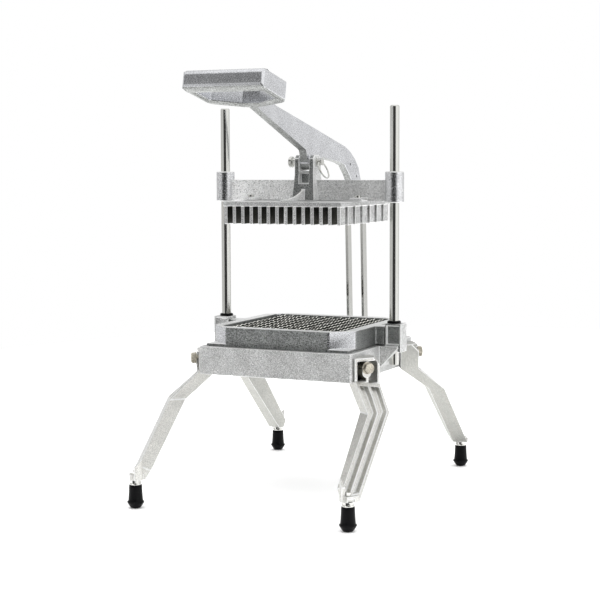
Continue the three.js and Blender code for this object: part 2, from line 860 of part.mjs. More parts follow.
function pusherHead() {
  const plate = raised(
    roundedRectangle(headPlateWidth, headPlateDepth, headCorner), 0, headPlateThick,
  );
  const fingers = [];
  for (let i = 0; i < fingerColumns; i += 1) {
    const x = (i - (fingerColumns - 1) / 2) * bladePitch;
    for (let j = 0; j < fingerRows; j += 1) {
      const y = (j - (fingerRows - 1) / 2) * rowPitch;
      fingers.push(block(
        x - fingerWidth / 2, x + fingerWidth / 2, y - fingerDepth / 2, y + fingerDepth / 2,
        -fingerLength, seat,
      ));
    }
  }
  let head = plate.add(unite(fingers));
  for (const sx of [-1, 1]) {
    head = head.subtract(barZ(
      screwRadius + pressGap, sx * padReach, -screwReach, headPlateThick + padHeight - screwDepth,
      headPlateThick + overrun, smallSides,
    ));
  }
  return part('pusher_head', head, 'casting');
}

// The concave gusset in the middle plane, one in front of the clevis and one behind it.
function gussetSolid(sign) {
  const rise = pivotHeight - gussetDrop - headPlateTop;
  const outline = [new THREE.Vector2(0, 0), new THREE.Vector2(sign * gussetEnd, 0)];
  for (let i = gussetSteps; i >= 0; i -= 1) {
    const share = i / gussetSteps;
    const height = gussetEndHeight + (rise - gussetEndHeight) * (1 - share) ** gussetCurve;
    outline.push(new THREE.Vector2(sign * share * gussetEnd, height));
  }
  if (sign < 0) outline.reverse();
  return sideways(outline, -gussetThick / 2, gussetThick / 2);
}

function clevisSolid() {
  const pivot = pivotHeight - headPlateTop;
  const top = pivot + clevisRise;
  const floor = pivot - forkDrop;
  const foot = polygon([
    [-clevisFootWidth, 0],
    [clevisFootWidth, 0],
    [clevisHalfWidth, floor - clevisCorner],
    [clevisHalfWidth, top],
    [-clevisHalfWidth, top],
    [-clevisHalfWidth, floor - clevisCorner],
  ]);
  const side = polygon([
    [-clevisFootDepth, 0],
    [clevisFootDepth, 0],
    [clevisHalfDepth, floor - clevisCorner],
    [clevisHalfDepth, top - clevisCorner],
    [clevisHalfDepth - clevisCorner, top],
    [clevisCorner - clevisHalfDepth, top],
    [-clevisHalfDepth, top - clevisCorner],
    [-clevisHalfDepth, floor - clevisCorner],
  ]);
  let clevis = lengthways(foot, -clevisFootDepth, clevisFootDepth)
    .intersect(sideways(side, -clevisFootWidth, clevisFootWidth));
  clevis = clevis.subtract(block(
    -forkWidth / 2, forkWidth / 2, -clevisFootDepth, clevisFootDepth, floor, top + overrun,
  ));
  for (const sy of [-1, 1]) {
    const ys = [sy * (clevisHalfDepth - windowDepth), sy * (clevisFootDepth + overrun)];
    ys.sort((a, b) => a - b);
    clevis = clevis.subtract(block(
      -forkWidth / 2, forkWidth / 2, ys[0], ys[1], pivot - windowDrop, pivot - windowTopDrop,
    ));
  }
  return clevis;
}

function crossbeam() {
  const web = block(-rodX, rodX, -beamThick / 2, beamThick / 2, 0, beamHeight);
  const pieces = [web, clevisSolid(), gussetSolid(-1), gussetSolid(1)];
  for (const sx of [-1, 1]) {
    const x = sx * padReach;
    pieces.push(block(x - padHalfWidth, x + padHalfWidth, -padHalfDepth, padHalfDepth, 0, padHeight));
    const tubeLow = tubeBottom - headPlateTop;
    const tube = turned([
      [0, 0],
      [tubeRadius - tubeChamfer, 0],
      [tubeRadius, tubeChamfer],
      [tubeRadius, tubeHeight - tubeChamfer],
      [tubeRadius - tubeChamfer, tubeHeight],
      [0, tubeHeight],
    ], roundSides);
    pieces.push(solidOf(geometryOf(tube).translate(sx * rodX, 0, tubeLow)));
  }
  let beam = unite(pieces);
  for (const sx of [-1, 1]) {
    const low = tubeBottom - headPlateTop;
    beam = beam.subtract(barZ(
      sleeveRadius + pressGap, sx * rodX, 0, low - overrun, low + tubeHeight + overrun, roundSides,
    ));
  }
  for (const sx of [-1, 1]) {
    beam = beam.subtract(barZ(
      screwRadius + pressGap, sx * padReach, -screwReach, -overrun, padHeight + overrun, smallSides,
    ));
  }
  const pinZ = pivotHeight - headPlateTop;
  beam = beam.subtract(barX(
    pinRadius + pressGap, -clevisFootWidth, clevisFootWidth, 0, pinZ, smallSides,
  ));
  const mesh = part('crossbeam', beam, 'casting');
  mesh.position.z = headPlateThick;
  return mesh;
}

function rodSleeve(name, sx) {
  const bore = rodRadius + runGap;
  const profile = [
    [bore, 0],
    [sleeveRadius, 0],
    [sleeveRadius, tubeHeight],
    [bore, tubeHeight],
    [bore, 0],
  ];
  const mesh = part(name, turned(profile, roundSides), 'bronze');
  mesh.position.set(sx * rodX, 0, tubeBottom - headPlateBottom);
  return mesh;
}

function headScrew(name, sx) {
  const shank = barZ(screwRadius, 0, 0, pressGap - screwDepth, seat, smallSides);
  const cap = barZ(screwHeadRadius, 0, 0, 0, screwHeadHeight, smallSides);
  const socket = barZ(
    socketRadius, 0, 0, screwHeadHeight - socketDepth, screwHeadHeight + overrun, hexSides,
  );
  const mesh = part(name, shank.add(cap).subtract(socket), 'stainless');
  mesh.position.set(sx * padReach, -screwReach, headPlateThick + padHeight);
  return mesh;
}

function clevisPin() {
  const shank = barX(pinRadius, -pinLeftReach - seat, pinRightReach, 0, 0, smallSides);
  const head = barX(pinHeadRadius, -pinLeftReach - pinHeadThick, -pinLeftReach, 0, 0, middleSides);
  const from = new THREE.Vector3(pinHoleReach, -2 * pinRadius, 0);
  const to = new THREE.Vector3(pinHoleReach, 2 * pinRadius, 0);
  const pin = shank.add(head).subtract(bar(pinHoleRadius, from, to, smallSides));
  const mesh = part('clevis_pin', pin, 'stainless');
  mesh.position.z = pivotHeight - headPlateBottom;
  return mesh;
}

function pinRing() {
  const ring = new THREE.TorusGeometry(ringRadius, ringWire, ringWireSides, ringSteps);
  ring.rotateY(Math.PI / 2);
  const sag = ringRadius - Math.sqrt(ringRadius ** 2 - pinRadius ** 2);
  ring.translate(0, 0, sag / 2 - ringRadius);
  ring.rotateY(-ringLean);
  const mesh = part('pin_ring', solidOf(ring), 'stainless');
  mesh.position.set(pinHoleReach, 0, pivotHeight - headPlateBottom);
  return mesh;
}

// Lever, in a group at its pivot

function handleSolid() {
  const front = handleRoot + handleLength - rearWallThick / 2;
  const sideEnd = handleRoot + handleShoulder;
  const outer = polygon([
    [-handleRearHalf, handleRoot - rearWallThick / 2],
    [handleRearHalf, handleRoot - rearWallThick / 2],
    [handleHalfWidth - handleCornerFront / 2, sideEnd - handleCornerFront],
    [handleHalfWidth, sideEnd],
    [handleHalfWidth, front - handleCornerFront],
    [handleHalfWidth - handleCornerFront, front],
    [handleCornerFront - handleHalfWidth, front],
    [-handleHalfWidth, front - handleCornerFront],
    [-handleHalfWidth, sideEnd],
    [handleCornerFront / 2 - handleHalfWidth, sideEnd - handleCornerFront],
  ]);
  const holeHalf = handleHalfWidth - sideWallThick;
  const hole = polygon([
    [-handleRearHalf, handleRoot + rearWallThick / 2],
    [handleRearHalf, handleRoot + rearWallThick / 2],
    [holeHalf, sideEnd + handleCornerFront / 2],
    [holeHalf, front - barDepth],
    [-holeHalf, front - barDepth],
    [-holeHalf, sideEnd + handleCornerFront / 2],
  ]);
  const shape = new THREE.Shape(outer);
  shape.holes.push(new THREE.Path(hole));
  const geometry = new THREE.ExtrudeGeometry(shape, {
    depth: handleHeight - 2 * handleBevel,
    bevelEnabled: true,
    bevelThickness: handleBevel,
    bevelSize: handleBevel,
    bevelOffset: -handleBevel,
    bevelSegments: 1,
  });
  geometry.translate(0, 0, handleRise - handleHeight / 2 + handleBevel);
  const forward = new THREE.Vector3(0, -Math.cos(handleLean), Math.sin(handleLean));
  const upward = new THREE.Vector3(0, Math.sin(handleLean), Math.cos(handleLean));
  const across = new THREE.Vector3().crossVectors(forward, upward);
  geometry.applyMatrix4(new THREE.Matrix4().makeBasis(across, forward, upward));
  return solidOf(geometry);
}

function leverArm() {
  const arm = sideways([
    neckTop, neckLow, lugFront, new THREE.Vector2(-lugRadius, 0),
    new THREE.Vector2(0, -lugRadius / 2), new THREE.Vector2(lugRadius, 0), lugBack, armLow, armFoot,
    tailRoot, tailInnerBend, tailInner, new THREE.Vector2(tailPivotY, tailPivotZ - pivotHeight),
    tailSide, tailLow, tailBack, tailBend, tailTop, armTop, neckStepFoot, neckStepTop,
  ], -leverThick / 2, leverThick / 2);
  const hubZ = tailPivotZ - pivotHeight;
  const lug = barX(lugRadius, -lugWidth / 2, lugWidth / 2, 0, 0, roundSides);
  const hub = barX(tailHubRadius, -tailHubWidth / 2, tailHubWidth / 2, tailPivotY, hubZ, middleSides);
  let lever = unite([arm, lug, hub, handleSolid()]);
  lever = lever.subtract(barX(leverBushRadius + pressGap, -lugWidth, lugWidth, 0, 0, roundSides));
  lever = lever.subtract(barX(
    linkPinRadius + runGap, -tailHubWidth, tailHubWidth, tailPivotY, hubZ, smallSides,
  ));
  for (const hole of tailHoles) {
    lever = lever.subtract(barX(tailHoleRadius, -leverThick, leverThick, hole.x, hole.y, smallSides));
  }
  return part('lever_arm', lever, 'casting');
}

function leverBushing() {
  const tube = barX(leverBushRadius, -lugWidth / 2, lugWidth / 2, 0, 0, roundSides);
  const bore = barX(pinRadius + runGap, -lugWidth, lugWidth, 0, 0, smallSides);
  return part('lever_bushing', tube.subtract(bore), 'bronze');
}

// Link bars, in a group at the tail's pivot

function linkBar(name, sx) {
  const drop = new THREE.Vector2(footPivotY - tailPivotY, footPivotZ - tailPivotZ);
  const length = drop.length();
  const lean = Math.atan2(drop.x, -drop.y);
  const outline = [];
  for (const [centre, start] of [[0, 0], [-length, Math.PI]]) {
    for (let i = 0; i <= 2 * cornerSteps; i += 1) {
      const angle = start + (i / (2 * cornerSteps)) * Math.PI;
      const y = linkHalfWidth * Math.cos(angle);
      const z = centre + linkHalfWidth * Math.sin(angle);
      outline.push(new THREE.Vector2(y, z).rotateAround(new THREE.Vector2(), lean));
    }
  }
  const xs = [sx * linkInner, sx * linkOuter].sort((a, b) => a - b);
  let link = sideways(outline, xs[0], xs[1]);
  for (const [y, z] of [[0, 0], [drop.x, drop.y]]) {
    link = link.subtract(barX(
      linkPinRadius + pressGap, xs[0] - overrun, xs[1] + overrun, y, z, smallSides,
    ));
  }
  return part(name, link, 'stainless');
}

function linkTopPin() {
  const shank = barX(linkPinRadius, -linkOuter - seat, linkOuter + seat, 0, 0, smallSides);
  const heads = [-1, 1].map((sx) => {
    const xs = [sx * linkOuter, sx * (linkOuter + linkHeadHeight)].sort((a, b) => a - b);
    return barX(linkHeadRadius, xs[0], xs[1], 0, 0, hexSides);
  });
  return part('link_top_pin', unite([shank, ...heads]), 'zinc');
}

function linkFootPin() {
  const y = footPivotY - tailPivotY;
  const z = footPivotZ - tailPivotZ;
  const pin = barX(linkPinRadius, -linkOuter, linkOuter, y, z, smallSides);
  const spacer = barX(linkSpacerRadius, -linkInner, linkInner, y, z, middleSides);
  return part('link_foot_pin', pin.add(spacer), 'stainless');
}

// Rear bracket that carries the foot of the link bars

function linkBracket() {
  const rear = baseEnd;
  const plate = block(
    -bracketPlateHalf, bracketPlateHalf, rear, rear + bracketPlateThick, bracketPlateBottom,
    bracketPlateTop,
  );
  const cheek = polygon([
    [rear + seat, cheekRootBottom],
    [cheekFloorReach, cheekRootBottom],
    [cheekReach - cheekEndCut, cheekBottom],
    [cheekReach, cheekBottom + cheekEndCut / 2],
    [cheekReach, cheekEndTop - cheekEndCut / 2],
    [cheekReach - cheekEndCut / 2, cheekEndTop],
    [cheekFloorReach, cheekTop],
    [rear + seat, bracketPlateTop],
  ]);
  const floor = block(
    -cheekInner - seat, cheekInner + seat, rear + seat, cheekFloorReach, cheekRootBottom,
    cheekRootBottom + cheekFloorThick,
  );
  let bracket = unite([
    plate, floor, sideways(cheek, -cheekOuter, -cheekInner), sideways(cheek, cheekInner, cheekOuter),
  ]);
  bracket = bracket.subtract(barX(
    stubPinRadius + pressGap, -cheekOuter - overrun, cheekOuter + overrun, footPivotY, footPivotZ,
    smallSides,
  ));
  for (const x of [-bracketBoltReach, bracketBoltReach]) {
    const from = new THREE.Vector3(x, rear - overrun, bracketBoltHeight);
    const to = new THREE.Vector3(x, rear + bracketPlateThick + overrun, bracketBoltHeight);
    bracket = bracket.subtract(bar(legBoltRadius + pressGap, from, to, smallSides));
  }
  return part('link_bracket', bracket, 'casting');
}

function bracketBolt(name, sx) {
  const at = (y) => new THREE.Vector3(0, y, 0);
  const shank = bar(legBoltRadius, at(pressGap - bracketBoltLength), at(seat), smallSides);
  const hex = bar(boltHeadFlats / Math.sqrt(3), at(0), at(boltHeadHeight), hexSides);
  const mesh = part(name, shank.add(hex), 'zinc');
  mesh.position.set(sx * bracketBoltReach, baseEnd + bracketPlateThick, bracketBoltHeight);
  return mesh;
}

// The foot pivot's pin is cut short at each cheek, which leaves the link free at this one pivot.
function bracketPin(name, sx) {
  const shank = [0, sx * (cheekThick + seat)].sort((a, b) => a - b);
  const cap = [sx * cheekThick, sx * (cheekThick + stubHeadHeight)].sort((a, b) => a - b);
  const pin = barX(stubPinRadius, shank[0], shank[1], 0, 0, smallSides)
    .add(barX(stubHeadRadius, cap[0], cap[1], 0, 0, middleSides));
  const mesh = part(name, pin, 'zinc');
  mesh.position.set(sx * cheekInner, footPivotY, footPivotZ);
  return mesh;
}

function group(name, pieces) {
  const whole = new THREE.Group();
  whole.name = name;
  whole.add(...pieces);
  return whole;
}

const stand = group('stand', [
  baseCasting(),
  ...fourCorners('leg', legSolid(), 'casting'),
  ...fourCorners('leg_bolt', legBoltSolid(), 'zinc'),
  ...fourCorners('foot', footSolid(), 'rubber'),
  ...fourCorners('foot_stud', footStudSolid(), 'stainless'),
  guideRod('guide_rod_left', -1),
  guideRod('guide_rod_right', 1),
  rodBumper('rod_bumper_left', -1),
  rodBumper('rod_bumper_right', 1),
  linkBracket(),
  bracketBolt('bracket_bolt_left', -1),
  bracketBolt('bracket_bolt_right', 1),
  bracketPin('bracket_pin_left', -1),
  bracketPin('bracket_pin_right', 1),
]);
const tray = group('tray', [bladeTray(), ...bladesLengthwise(), ...bladesCrosswise()]);
const head = group('head', [
  pusherHead(),
  crossbeam(),
  rodSleeve('rod_sleeve_left', -1),
  rodSleeve('rod_sleeve_right', 1),
  headScrew('head_screw_left', -1),
  headScrew('head_screw_right', 1),
  clevisPin(),
  pinRing(),
]);
head.position.z = headPlateBottom;
const lever = group('lever', [leverArm(), leverBushing()]);
lever.position.z = pivotHeight;
const link = group('link', [
  linkBar('link_bar_left', -1),
  linkBar('link_bar_right', 1),
  linkTopPin(),
  linkFootPin(),
]);
link.position.set(0, tailPivotY, tailPivotZ);

const cutter = group('lettuce_cutter', [stand, tray, head, lever, link]);
const size = new THREE.Box3().setFromObject(cutter);
cutter.position.y = -(size.min.y + size.max.y) / 2;

export default cutter;
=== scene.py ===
# Looks of the bench lettuce cutter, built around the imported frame. Metres, +Z up, +X right, +Y rear.
import json
import math
import bpy
import bmesh
from mathutils import Matrix, Vector


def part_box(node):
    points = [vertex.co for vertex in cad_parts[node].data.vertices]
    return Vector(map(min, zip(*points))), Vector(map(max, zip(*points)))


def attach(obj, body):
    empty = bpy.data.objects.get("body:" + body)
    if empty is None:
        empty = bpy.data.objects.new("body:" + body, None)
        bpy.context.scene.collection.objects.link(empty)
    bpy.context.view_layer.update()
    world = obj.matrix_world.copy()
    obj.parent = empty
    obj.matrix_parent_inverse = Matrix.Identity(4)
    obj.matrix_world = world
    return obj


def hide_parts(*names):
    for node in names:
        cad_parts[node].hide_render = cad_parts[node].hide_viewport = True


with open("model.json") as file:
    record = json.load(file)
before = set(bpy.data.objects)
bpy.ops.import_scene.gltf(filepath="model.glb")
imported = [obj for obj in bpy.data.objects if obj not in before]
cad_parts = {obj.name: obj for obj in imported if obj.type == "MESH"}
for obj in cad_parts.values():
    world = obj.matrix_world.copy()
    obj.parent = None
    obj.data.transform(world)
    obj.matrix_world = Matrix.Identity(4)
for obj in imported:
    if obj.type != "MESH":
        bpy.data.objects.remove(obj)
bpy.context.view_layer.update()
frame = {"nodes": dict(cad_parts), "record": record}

MM = 0.001
UP = Vector((0, 0, 1))
CORNERS = ("front_left", "front_right", "rear_left", "rear_right")
SIDES = ("left", "right")
LENGTHWISE_BLADES, CROSSWISE_BLADES = 13, 6
NODES = frame["nodes"]
BODY_OF = {
    node: body
    for body, nodes in frame["record"]["behaviour"]["bodies"].items()
    for node in nodes
}
SLOT_OF = {row["node"]: row["material_slot"] for row in frame["record"]["subparts"]}


# Node graphs

# Sockets of the mix node, when it mixes colours and when it mixes numbers
COLOUR_A, COLOUR_B, COLOUR_OUT = 6, 7, 2
NUMBER_A, NUMBER_B, NUMBER_OUT = 2, 3, 0


def add(tree, kind, inputs=None, **settings):
    """Makes a shader node, sets it up and wires or fills its inputs."""
    made = tree.nodes.new(kind)
    for key, value in settings.items():
        setattr(made, key, value)
    for key, value in (inputs or {}).items():
        if isinstance(value, bpy.types.NodeSocket):
            tree.links.new(value, made.inputs[key])
        else:
            made.inputs[key].default_value = value
    return made


def grey(value):
    return (value, value, value, 1.0)


def remap(tree, value, span, to_low, to_high, smooth=False):
    made = add(tree, "ShaderNodeMapRange", {
        "Value": value, "From Min": span[0], "From Max": span[1], "To Min": to_low, "To Max": to_high,
    }, interpolation_type="SMOOTHSTEP" if smooth else "LINEAR")
    return made.outputs["Result"]


def math_node(tree, operation, a, b):
    return add(tree, "ShaderNodeMath", {0: a, 1: b}, operation=operation).outputs[0]


def noise(tree, place, scale, detail, rough, stretch=None):
    if stretch:
        place = add(tree, "ShaderNodeMapping", {"Vector": place, "Scale": stretch}).outputs[0]
    made = add(tree, "ShaderNodeTexNoise", {
        "Vector": place, "Scale": scale, "Detail": detail, "Roughness": rough,
    })
    return made.outputs[0]


def tinted(tree, colour, factors):
    """A colour times one or more grey factors."""
    current = colour
    for factor in factors:
        shade = add(tree, "ShaderNodeCombineColor", {0: factor, 1: factor, 2: factor}).outputs[0]
        mixed = add(tree, "ShaderNodeMix", data_type="RGBA", blend_type="MULTIPLY")
        mixed.inputs["Factor"].default_value = 1.0
        if isinstance(current, tuple):
            mixed.inputs[COLOUR_A].default_value = current
        else:
            tree.links.new(current, mixed.inputs[COLOUR_A])
        tree.links.new(shade, mixed.inputs[COLOUR_B])
        current = mixed.outputs[COLOUR_OUT]
    return current


# The part of the noise's values that is spread out over a factor, and the noise's detail and roughness
GRAIN_SPAN, GRAIN_NOISE = (0.32, 0.68), (2.5, 0.6)
PATCH_SPAN, PATCH_NOISE = (0.3, 0.7), (3.0, 0.5)
ROUGH_SPAN = (0.3, 0.7)
PIT_EDGE, PIT_NOISE = 0.06, (2.0, 0.5)


def surface(name, colour, metallic, rough, grain, patches, bump,
            pits=None, stretch=None, specular=0.5, fade=None):
    """A procedural surface: patches of tone, fine grain with bump, and optional pits.

    rough is (middle, spread), grain and patches are (scale per metre, lowest factor, highest
    factor), bump is (strength, depth), pits is (scale per metre, threshold, factor), stretch is
    the grain's scale along each axis, and fade is (left x, right x, left factor, right factor), a
    painted shade that darkens the colour from left to right."""
    material = bpy.data.materials.new(name)
    material.use_nodes = True
    tree = material.node_tree
    tree.nodes.clear()
    place = add(tree, "ShaderNodeTexCoord").outputs["Object"]
    fine = noise(tree, place, grain[0], *GRAIN_NOISE, stretch)
    broad = noise(tree, place, patches[0], *PATCH_NOISE)
    factors = [
        remap(tree, fine, GRAIN_SPAN, grain[1], grain[2]),
        remap(tree, broad, PATCH_SPAN, patches[1], patches[2]),
    ]
    if pits:
        spots = noise(tree, place, pits[0], *PIT_NOISE)
        factors.append(remap(tree, spots, (pits[1], pits[1] + PIT_EDGE), 1.0, pits[2]))
    # fade darkens the colour from left to right, a painted shade.
    if fade:
        across = add(tree, "ShaderNodeSeparateXYZ", {0: place}).outputs[0]
        factors.append(remap(tree, across, fade[:2], *fade[2:], smooth=True))
    shader = add(tree, "ShaderNodeBsdfPrincipled", {
        "Metallic": metallic, "Specular IOR Level": specular,
    })
    tree.links.new(tinted(tree, (*colour, 1.0), factors), shader.inputs["Base Color"])
    tree.links.new(
        remap(tree, fine, ROUGH_SPAN, rough[0] - rough[1], rough[0] + rough[1]),
        shader.inputs["Roughness"],
    )
    relief = add(tree, "ShaderNodeBump", {
        "Strength": bump[0], "Distance": bump[1], "Height": fine,
    })
    tree.links.new(relief.outputs[0], shader.inputs["Normal"])
    out = add(tree, "ShaderNodeOutputMaterial")
    tree.links.new(shader.outputs[0], out.inputs[0])
    return material


LOOKS = {
    "cast": dict(
        name="cast_aluminium", colour=(0.80, 0.805, 0.80), metallic=0.88, rough=(0.48, 0.12),
        grain=(820, 0.36, 1.20), patches=(45, 0.84, 1.05), pits=(420, 0.66, 0.60),
        bump=(0.8, 0.0005),
    ),
    # Machined casting; fade darkens it towards the right as a painted shade.
    "beam": dict(
        name="machined_casting_painted_shade", colour=(0.96, 0.965, 0.96), metallic=0.22, rough=(0.36, 0.10),
        grain=(820, 0.55, 1.30), patches=(50, 0.90, 1.04), pits=(420, 0.64, 0.45),
        bump=(0.7, 0.0005), fade=(-0.04, 0.05, 1.0, 0.66),
    ),
    "bored": dict(
        name="turned_casting", colour=(0.88, 0.885, 0.90), metallic=1.0, rough=(0.21, 0.07),
        grain=(950, 0.5, 1.15), patches=(50, 0.92, 1.04), bump=(0.5, 0.0004),
    ),
    # Painted shade: a darker look for the lever's downward faces.
    "underside_shade": dict(
        name="painted_underside_shade", colour=(0.50, 0.51, 0.50), metallic=0.9, rough=(0.44, 0.10),
        grain=(950, 0.25, 1.5), patches=(60, 0.88, 1.06), pits=(420, 0.64, 0.6),
        bump=(0.9, 0.0006),
    ),
    # The tray's own dark ground finish. On the fronts of the tower and the clevis the same look is
    # painted shade.
    "tray": dict(
        name="ground_tray_and_painted_shade", colour=(0.33, 0.34, 0.335), metallic=0.95, rough=(0.40, 0.10),
        grain=(950, 0.15, 1.6), patches=(60, 0.86, 1.06), pits=(420, 0.64, 0.6),
        bump=(0.9, 0.0005),
    ),
    # Painted shade: near black, for the pusher's faces between its outer rows of fingers.
    "inner": dict(
        name="painted_finger_shade", colour=(0.055, 0.055, 0.045), metallic=0.9, rough=(0.60, 0.10),
        grain=(950, 0.2, 1.9), patches=(60, 0.7, 1.2), bump=(0.9, 0.0006),
    ),
    # Painted shade: dark, for the base's corner hollows and the pockets in the legs' heads.
    "recess_shade": dict(
        name="painted_recess_shade", colour=(0.13, 0.125, 0.10), metallic=0.25, rough=(0.60, 0.10),
        grain=(950, 0.3, 1.7), patches=(60, 0.8, 1.1), bump=(0.9, 0.0006),
    ),
    # Painted highlight: near white, for the rounded edges and the tray's rim tops.
    "edge": dict(
        name="painted_edge_highlight", colour=(0.97, 0.975, 0.97), metallic=1.0, rough=(0.50, 0.10),
        grain=(500, 0.88, 1.03), patches=(60, 0.95, 1.02), bump=(0.2, 0.0003),
    ),
    # The lever's tumbled polish. On the tray's slanting corners the same look is painted light.
    "polish_and_facet_light": dict(
        name="tumbled_aluminium_and_painted_light", colour=(0.82, 0.83, 0.855), metallic=1.0, rough=(0.25, 0.07),
        grain=(950, 0.62, 1.16), patches=(38, 0.90, 1.06), pits=(300, 0.68, 0.75),
        bump=(0.25, 0.0003),
    ),
    "leg": dict(
        name="leg_aluminium", colour=(0.80, 0.795, 0.76), metallic=0.9, rough=(0.48, 0.08),
        grain=(950, 0.62, 1.14), patches=(40, 0.92, 1.05), pits=(420, 0.68, 0.8),
        bump=(0.6, 0.0005),
    ),
    # Painted shade: a darker copy of the leg look, for the rear legs.
    "rear_leg_shade": dict(
        name="rear_leg_painted_shade", colour=(0.56, 0.56, 0.53), metallic=0.9, rough=(0.48, 0.08),
        grain=(950, 0.62, 1.16), patches=(40, 0.92, 1.05), pits=(420, 0.68, 0.8),
        bump=(0.6, 0.0005),
    ),
    "stainless": dict(
        name="ground_stainless", colour=(0.68, 0.68, 0.65), metallic=1.0, rough=(0.13, 0.05),
        grain=(260, 0.93, 1.05), patches=(25, 0.97, 1.03), bump=(0.12, 0.0001),
        stretch=(9.0, 9.0, 0.35),
    ),
    # Steel made near black as painted shade of the gaps between the blades.
    "blade": dict(
        name="blade_steel_painted_gap_shade", colour=(0.05, 0.05, 0.042), metallic=1.0, rough=(0.30, 0.06),
        grain=(500, 0.6, 1.3), patches=(60, 0.9, 1.06), bump=(0.12, 0.0001),
    ),
    # Painted highlight: bright, speckled colour on the blades' ground crests.
    "honed_crest_highlight": dict(
        name="honed_edge_painted_highlight", colour=(0.97, 0.96, 0.88), metallic=0.5, rough=(0.50, 0.05),
        grain=(260, 0.05, 2.2), patches=(60, 0.95, 1.02), bump=(0.1, 0.0001),
    ),
    "zinc": dict(
        name="plated_steel", colour=(0.62, 0.58, 0.49), metallic=1.0, rough=(0.36, 0.08),
        grain=(600, 0.5, 1.15), patches=(150, 0.8, 1.1), bump=(0.25, 0.0003),
    ),
    "bronze": dict(
        name="bearing_bronze", colour=(0.50, 0.33, 0.15), metallic=1.0, rough=(0.42, 0.06),
        grain=(1400, 0.85, 1.08), patches=(90, 0.9, 1.05), bump=(0.15, 0.0002),
    ),
    "rubber": dict(
        name="moulded_rubber", colour=(0.002, 0.002, 0.0025), metallic=0.0, rough=(0.34, 0.08),
        grain=(700, 0.7, 1.3), patches=(60, 0.85, 1.2), bump=(0.4, 0.0003), specular=0.10,
    ),
}
MATERIALS = {look: surface(**settings) for look, settings in LOOKS.items()}
LOOK_OF_SLOT = {
    "casting": "cast", "stainless": "stainless", "blade": "blade", "zinc": "zinc",
    "bronze": "bronze", "rubber": "rubber",
}


# Pieces

# The width of a full bevel weight, the share of the shortest edge at a corner that a bevel may
# take, the reach within which points are one, and the angle below which faces are flat
FULL_BEVEL = 5 * MM
BEVEL_SHARE = 0.4
SAME_POINT = 0.002 * MM
FLAT_ANGLE = math.radians(0.1)


def box_of(node):
    return tuple(Vector(v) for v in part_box(node))


def mesh_of(bm, name):
    """The finished mesh of a bmesh, which is freed."""
    mesh = bpy.data.meshes.new(name)
    bm.to_mesh(mesh)
    bm.free()
    return mesh


def smooth_by_angle(mesh, degrees):
    mesh.polygons.foreach_set("use_smooth", [True] * len(mesh.polygons))
    mesh.set_sharp_from_angle(angle=math.radians(degrees))


def shown(node, mesh, look=None, more=()):
    """Links a mesh as the piece that stands for a CAD node, on its body and in its slot."""
    name = node + "_form"
    slot = SLOT_OF[node]
    mesh.name = name
    piece = bpy.data.objects.new(name, mesh)
    bpy.context.scene.collection.objects.link(piece)
    for look_name in (look or LOOK_OF_SLOT[slot], *more):
        mesh.materials.append(MATERIALS[look_name])
    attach(piece, BODY_OF[node])
    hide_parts(node)
    return piece


def rounded(piece, segments, bright):
    """Rounds a piece's edges by their bevel weights; bright gives them the last of its looks, a painted
    highlight.
    """
    bevel = piece.modifiers.new("rounding", "BEVEL")
    bevel.width = FULL_BEVEL
    bevel.segments = segments
    bevel.limit_method = "WEIGHT"
    bevel.use_clamp_overlap = False
    bevel.harden_normals = True
    if bright:
        bevel.material = len(piece.data.materials) - 1


def weigh_edges(bm, width, degrees):
    """Marks the sharp edges with the width that they can be rounded by without running into others.

    width is a length, or gives one for an edge."""
    name = "bevel_weight_edge"
    layer = bm.edges.layers.float.get(name) or bm.edges.layers.float.new(name)
    limit = math.radians(degrees)
    room = {v: min(e.calc_length() for e in v.link_edges) for v in bm.verts}
    for edge in bm.edges:
        sharp = len(edge.link_faces) == 2 and edge.calc_face_angle() > limit
        wanted = width(edge) if callable(width) else width
        free = BEVEL_SHARE * min(room[v] for v in edge.verts)
        edge[layer] = min(wanted, free, FULL_BEVEL) / FULL_BEVEL if sharp else 0.0


def refined(node, width, segments=2, degrees=32, look=None, edge=None, inside=None, form=None):
    """A CAD node's mesh, or a form made for it, with flat faces joined up and edges rounded.

    inside maps further looks to tests for the faces that have them; most of these looks are painted
    shade and painted light. edge is the look of the rounded edges, a painted highlight. Above the
    given angle an edge is sharp."""
    bm = bmesh.new()
    bm.from_mesh(form or NODES[node].data)
    bmesh.ops.remove_doubles(bm, verts=bm.verts, dist=SAME_POINT)
    bmesh.ops.dissolve_limit(bm, angle_limit=FLAT_ANGLE, verts=bm.verts, edges=bm.edges)
    weigh_edges(bm, width, degrees)
    bm.normal_update()
    more = list(inside or ())
    for number, test in enumerate((inside or {}).values(), start=1):
        for face in bm.faces:
            if test(face):
                face.material_index = number
    if edge:
        more.append(edge)
    mesh = mesh_of(bm, node + "_form")
    smooth_by_angle(mesh, degrees)
    rounded(shown(node, mesh, look, more), segments, bool(edge))


# Round pieces, turned afresh with smooth walls

TURNED_SIDES, BOLT_SIDES = 48, 72
TURNED_DEGREES = 35

# Flanged bolts: shank, flange and brim, and the head's flats, height, chamfers and dished top
SHANK, SHANK_CHAMFER = 4 * MM, 0.6 * MM
FLANGE, FLANGE_EDGE = 8 * MM, 0.3 * MM
BRIM, BRIM_SLOPE = 1.6 * MM, 0.5 * MM
FLATS, HEAD = 13 * MM, 5.3 * MM
CORNER_CUT, CORNER_DROP, CORNER_TOP = 0.5 * MM, 1.3 * MM, 0.8 * MM
CROWN_DROP, CROWN_IN = 0.2 * MM, 0.5 * MM
DISH_DEPTH, DISH_IN = 0.4 * MM, 1.6 * MM

